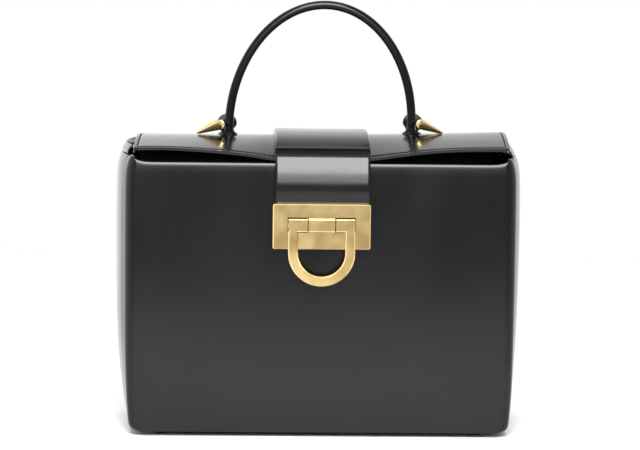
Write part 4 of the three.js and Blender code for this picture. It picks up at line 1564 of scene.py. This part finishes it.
    def loop(self) -> None:
        """Builds the leather loop behind each handle end, with an eye for the stirrup's bar."""
        back = self.radius + self.form.gap + self.loop_wall
        points = smooth_loop(self.loop_outline, 3)
        outline = [Vector((self.end_x + x * MM, back, self.foot_z + max(0.0, z) * MM)) for x, z in points]
        right = disc("handle_loop_leather_right", outline, Vector((0, -self.loop_wall, 0)))
        round_edges(right, 0.8 * MM, angle=60)
        room = Vector((0, 20 * MM, 0))
        bore = rod("eye", self.bar_radius + self.form.gap, self.eye - room, self.eye + room)
        combine(right, bore, "DIFFERENCE")
        self.both_ends(right, Look.ROLLED, "handle_loop")

    def stirrup(self) -> None:
        """Builds the gold stirrup at each handle end: a bar, two tapered arms and a narrow tip on the lid."""
        eye = self.eye
        tip_x = eye.x + self.stirrup_length
        tip_z = self.form.even_top(tip_x, self.tip_spread / 2) - self.form.lid_settle + self.tip_radius
        start = Vector((eye.x, self.stirrup_spread / 2 - self.stirrup_wall / 2, eye.z))
        end = Vector((tip_x, self.tip_spread / 2 - self.stirrup_wall / 2, tip_z))
        side = Vector((0, self.stirrup_wall / 2, 0))
        rings = []
        for share, tall in self.arm_rows:
            centre = start.lerp(end, share)
            centre.y = min(centre.y, start.y)
            up = Vector((end.z - start.z, 0, -(end.x - start.x))).normalized() * -tall * MM
            rings.append([centre + up * a + side * b for a, b in self.arm_section])
        right = sleeve("stirrup_gold_right", rings)
        soften(right)
        combine(right, mirrored(right, "arm", (1, -1, 1)), "UNION")
        reach = Vector((0, start.y, 0))
        combine(right, rod("bar", self.bar_radius, eye - reach, eye + reach), "UNION")
        tip = Vector((tip_x, 0, tip_z))
        reach = Vector((0, end.y, 0))
        combine(right, rod("tip", self.tip_radius * 0.96, tip - reach, tip + reach, 28), "UNION")
        self.both_ends(right, Look.GOLD, "stirrup", 40)


@dataclass
class Feet:
    """The four low feet under the base."""

    form: BagForm
    shop: Workshop
    radius: float = 4 * MM
    inset_x: float = 22.6 * MM
    inset_y: float = 14 * MM

    def build(self) -> None:
        """Models one foot and copies it to the other corners."""
        top = self.form.base_z - self.form.gap
        first = rod("foot", self.radius, Vector((0, 0, 0)), Vector((0, 0, top)), 40)
        with editing(first, "FACE"):
            pick(first, lambda _, normal: normal.z < -0.9, "faces")
            bpy.ops.transform.resize(value=(0.76, 0.76, 1))
            bpy.ops.mesh.inset(thickness=0.9 * MM)
            bpy.ops.mesh.extrude_region_move(TRANSFORM_OT_translate={"value": (0, 0, 0.35 * MM)})
        round_edges(first, 0.45 * MM, 4, 25)
        x = self.form.half_width - self.inset_x
        y = self.form.half_depth - self.inset_y
        for facing in Facing:
            for side in Side:
                name = f"{facing.name.lower()}_{side.label}"
                foot = duplicate(first, f"bag_foot_{name}")
                move(foot, Vector((side.value * x, facing.value * y, 0)))
                self.shop.finish(foot, Look.RUBBER, f"foot_{name}")
        bpy.data.objects.remove(first)


@dataclass
class Studio:
    """The camera, the pale floor and the soft light."""

    eye: Triple = (-0.0663, -1.9815, 0.3221)
    aim: Triple = (0.00098, 0.00646, 0.13564)
    lens: float = 166.45
    roll: float = 0.6725
    back_light: float = 1.35
    front_light: float = 0.56
    left_light: float = 1.15
    right_light: float = 0.8
    high_box: float = 22.0
    high_size: Point = (0.85, 1.36)
    high_place: Triple = (0, -1.23, 1.2)
    low_box: float = 8.0
    low_size: Point = (0.85, 0.36)
    low_place: Triple = (0, -1.5, 0.45)
    box_aim: Triple = (0, 0, 0.17)
    floor_size: float = 3.0

    def build(self) -> None:
        """Sets up the whole studio."""
        self.camera()
        self.floor()
        self.world()
        self.lights()
        bpy.context.scene.view_settings.view_transform = "Standard"

    def camera(self) -> None:
        """Places the camera at the photograph's angle."""
        data = bpy.data.cameras.new("camera")
        data.lens = self.lens
        data.sensor_width = 36
        data.clip_end = 200
        camera = bpy.data.objects.new("camera", data)
        bpy.context.scene.collection.objects.link(camera)
        look = (Vector(self.aim) - Vector(self.eye)).to_track_quat("-Z", "Y").to_matrix().to_4x4()
        roll = Matrix.Rotation(math.radians(self.roll), 4, "Z")
        camera.matrix_world = Matrix.Translation(self.eye) @ look @ roll
        bpy.context.scene.camera = camera

    def floor(self) -> None:
        """Lays the floor."""
        clear()
        bpy.ops.mesh.primitive_plane_add(size=self.floor_size)
        floor = named("studio_floor")
        floor.data.materials.append(PaleFloor().make())

    def world(self) -> None:
        """Surrounds the bag with soft light: bright behind it, dimmer before it, and plain white to the camera."""
        board = Board(bpy.data.worlds.new("studio_light"), "Background", "Generated")
        bpy.context.scene.world = board.owner
        split = board.add("ShaderNodeSeparateXYZ")
        board.join(board.place, split, "Vector")
        towards = board.span(split.outputs["Y"], self.front_light, self.back_light, -0.9, -0.1)
        sideways = board.span(split.outputs["X"], self.left_light, self.right_light, -0.12, 0.12)
        board.wire(Strength=board.blend_values("MULTIPLY", towards, sideways))
        board.set(Color=(1, 1, 1, 1))
        plain = board.add("ShaderNodeBackground")
        plain.inputs["Color"].default_value = (1, 1, 1, 1)
        mix = board.add("ShaderNodeMixShader")
        board.join(board.add("ShaderNodeLightPath").outputs["Is Camera Ray"], mix, "Fac")
        board.join(board.shader.outputs["Background"], mix, 1)
        board.join(plain.outputs["Background"], mix, 2)
        board.join(mix.outputs["Shader"], board.tree.nodes["World Output"], "Surface")

    def lights(self) -> None:
        """Hangs the soft boxes in front: a large one high up and a dimmer one below it."""
        self.soft_box("high_box", self.high_box, self.high_size, Vector(self.high_place))
        self.soft_box("low_box", self.low_box, self.low_size, Vector(self.low_place))

    def soft_box(self, name: str, radiance: float, size: Point, place: Vector) -> None:
        """Hangs one soft box.

        Args:
            name: its name.
            radiance: how bright its face is, where the white round the bag is 1.
            size: its width and height.
            place: where it hangs.
        """
        data = bpy.data.lights.new(name, "AREA")
        data.shape = "RECTANGLE"
        data.size, data.size_y = size
        data.energy = radiance * math.pi * size[0] * size[1]
        light = bpy.data.objects.new(name, data)
        bpy.context.scene.collection.objects.link(light)
        turn = (Vector(self.box_aim) - place).to_track_quat("-Z", "Y").to_matrix().to_4x4()
        light.matrix_world = Matrix.Translation(place) @ turn
        light.visible_camera = False


def write_sizes() -> None:
    """Defines a helper that turns a box into plain lists of numbers, and writes nothing."""
    def plain(box: tuple[Vector, Vector]) -> list[list[float]]:
        """Returns a box as plain lists of numbers."""
        return [[round(float(value), 6) for value in corner] for corner in box]


def main() -> None:
    """Builds the bag piece by piece."""
    logging.basicConfig(level=logging.INFO, format="%(name)s %(message)s")
    form = BagForm()
    Studio().build()
    shop = Workshop(Finishes.make())
    seams = Seams()
    strap = ClosingStrap(form, shop, seams)
    BodyWalls(form, shop, seams).build()
    Lid(form, shop, seams).build()
    strap.build()
    Clasp(form, shop, strap).build()
    Carrying(form, shop, Seams(pitch=2.8 * MM, length=2.0 * MM)).build()
    Feet(form, shop).build()
    write_sizes()


if __name__ == "__main__":
    main()
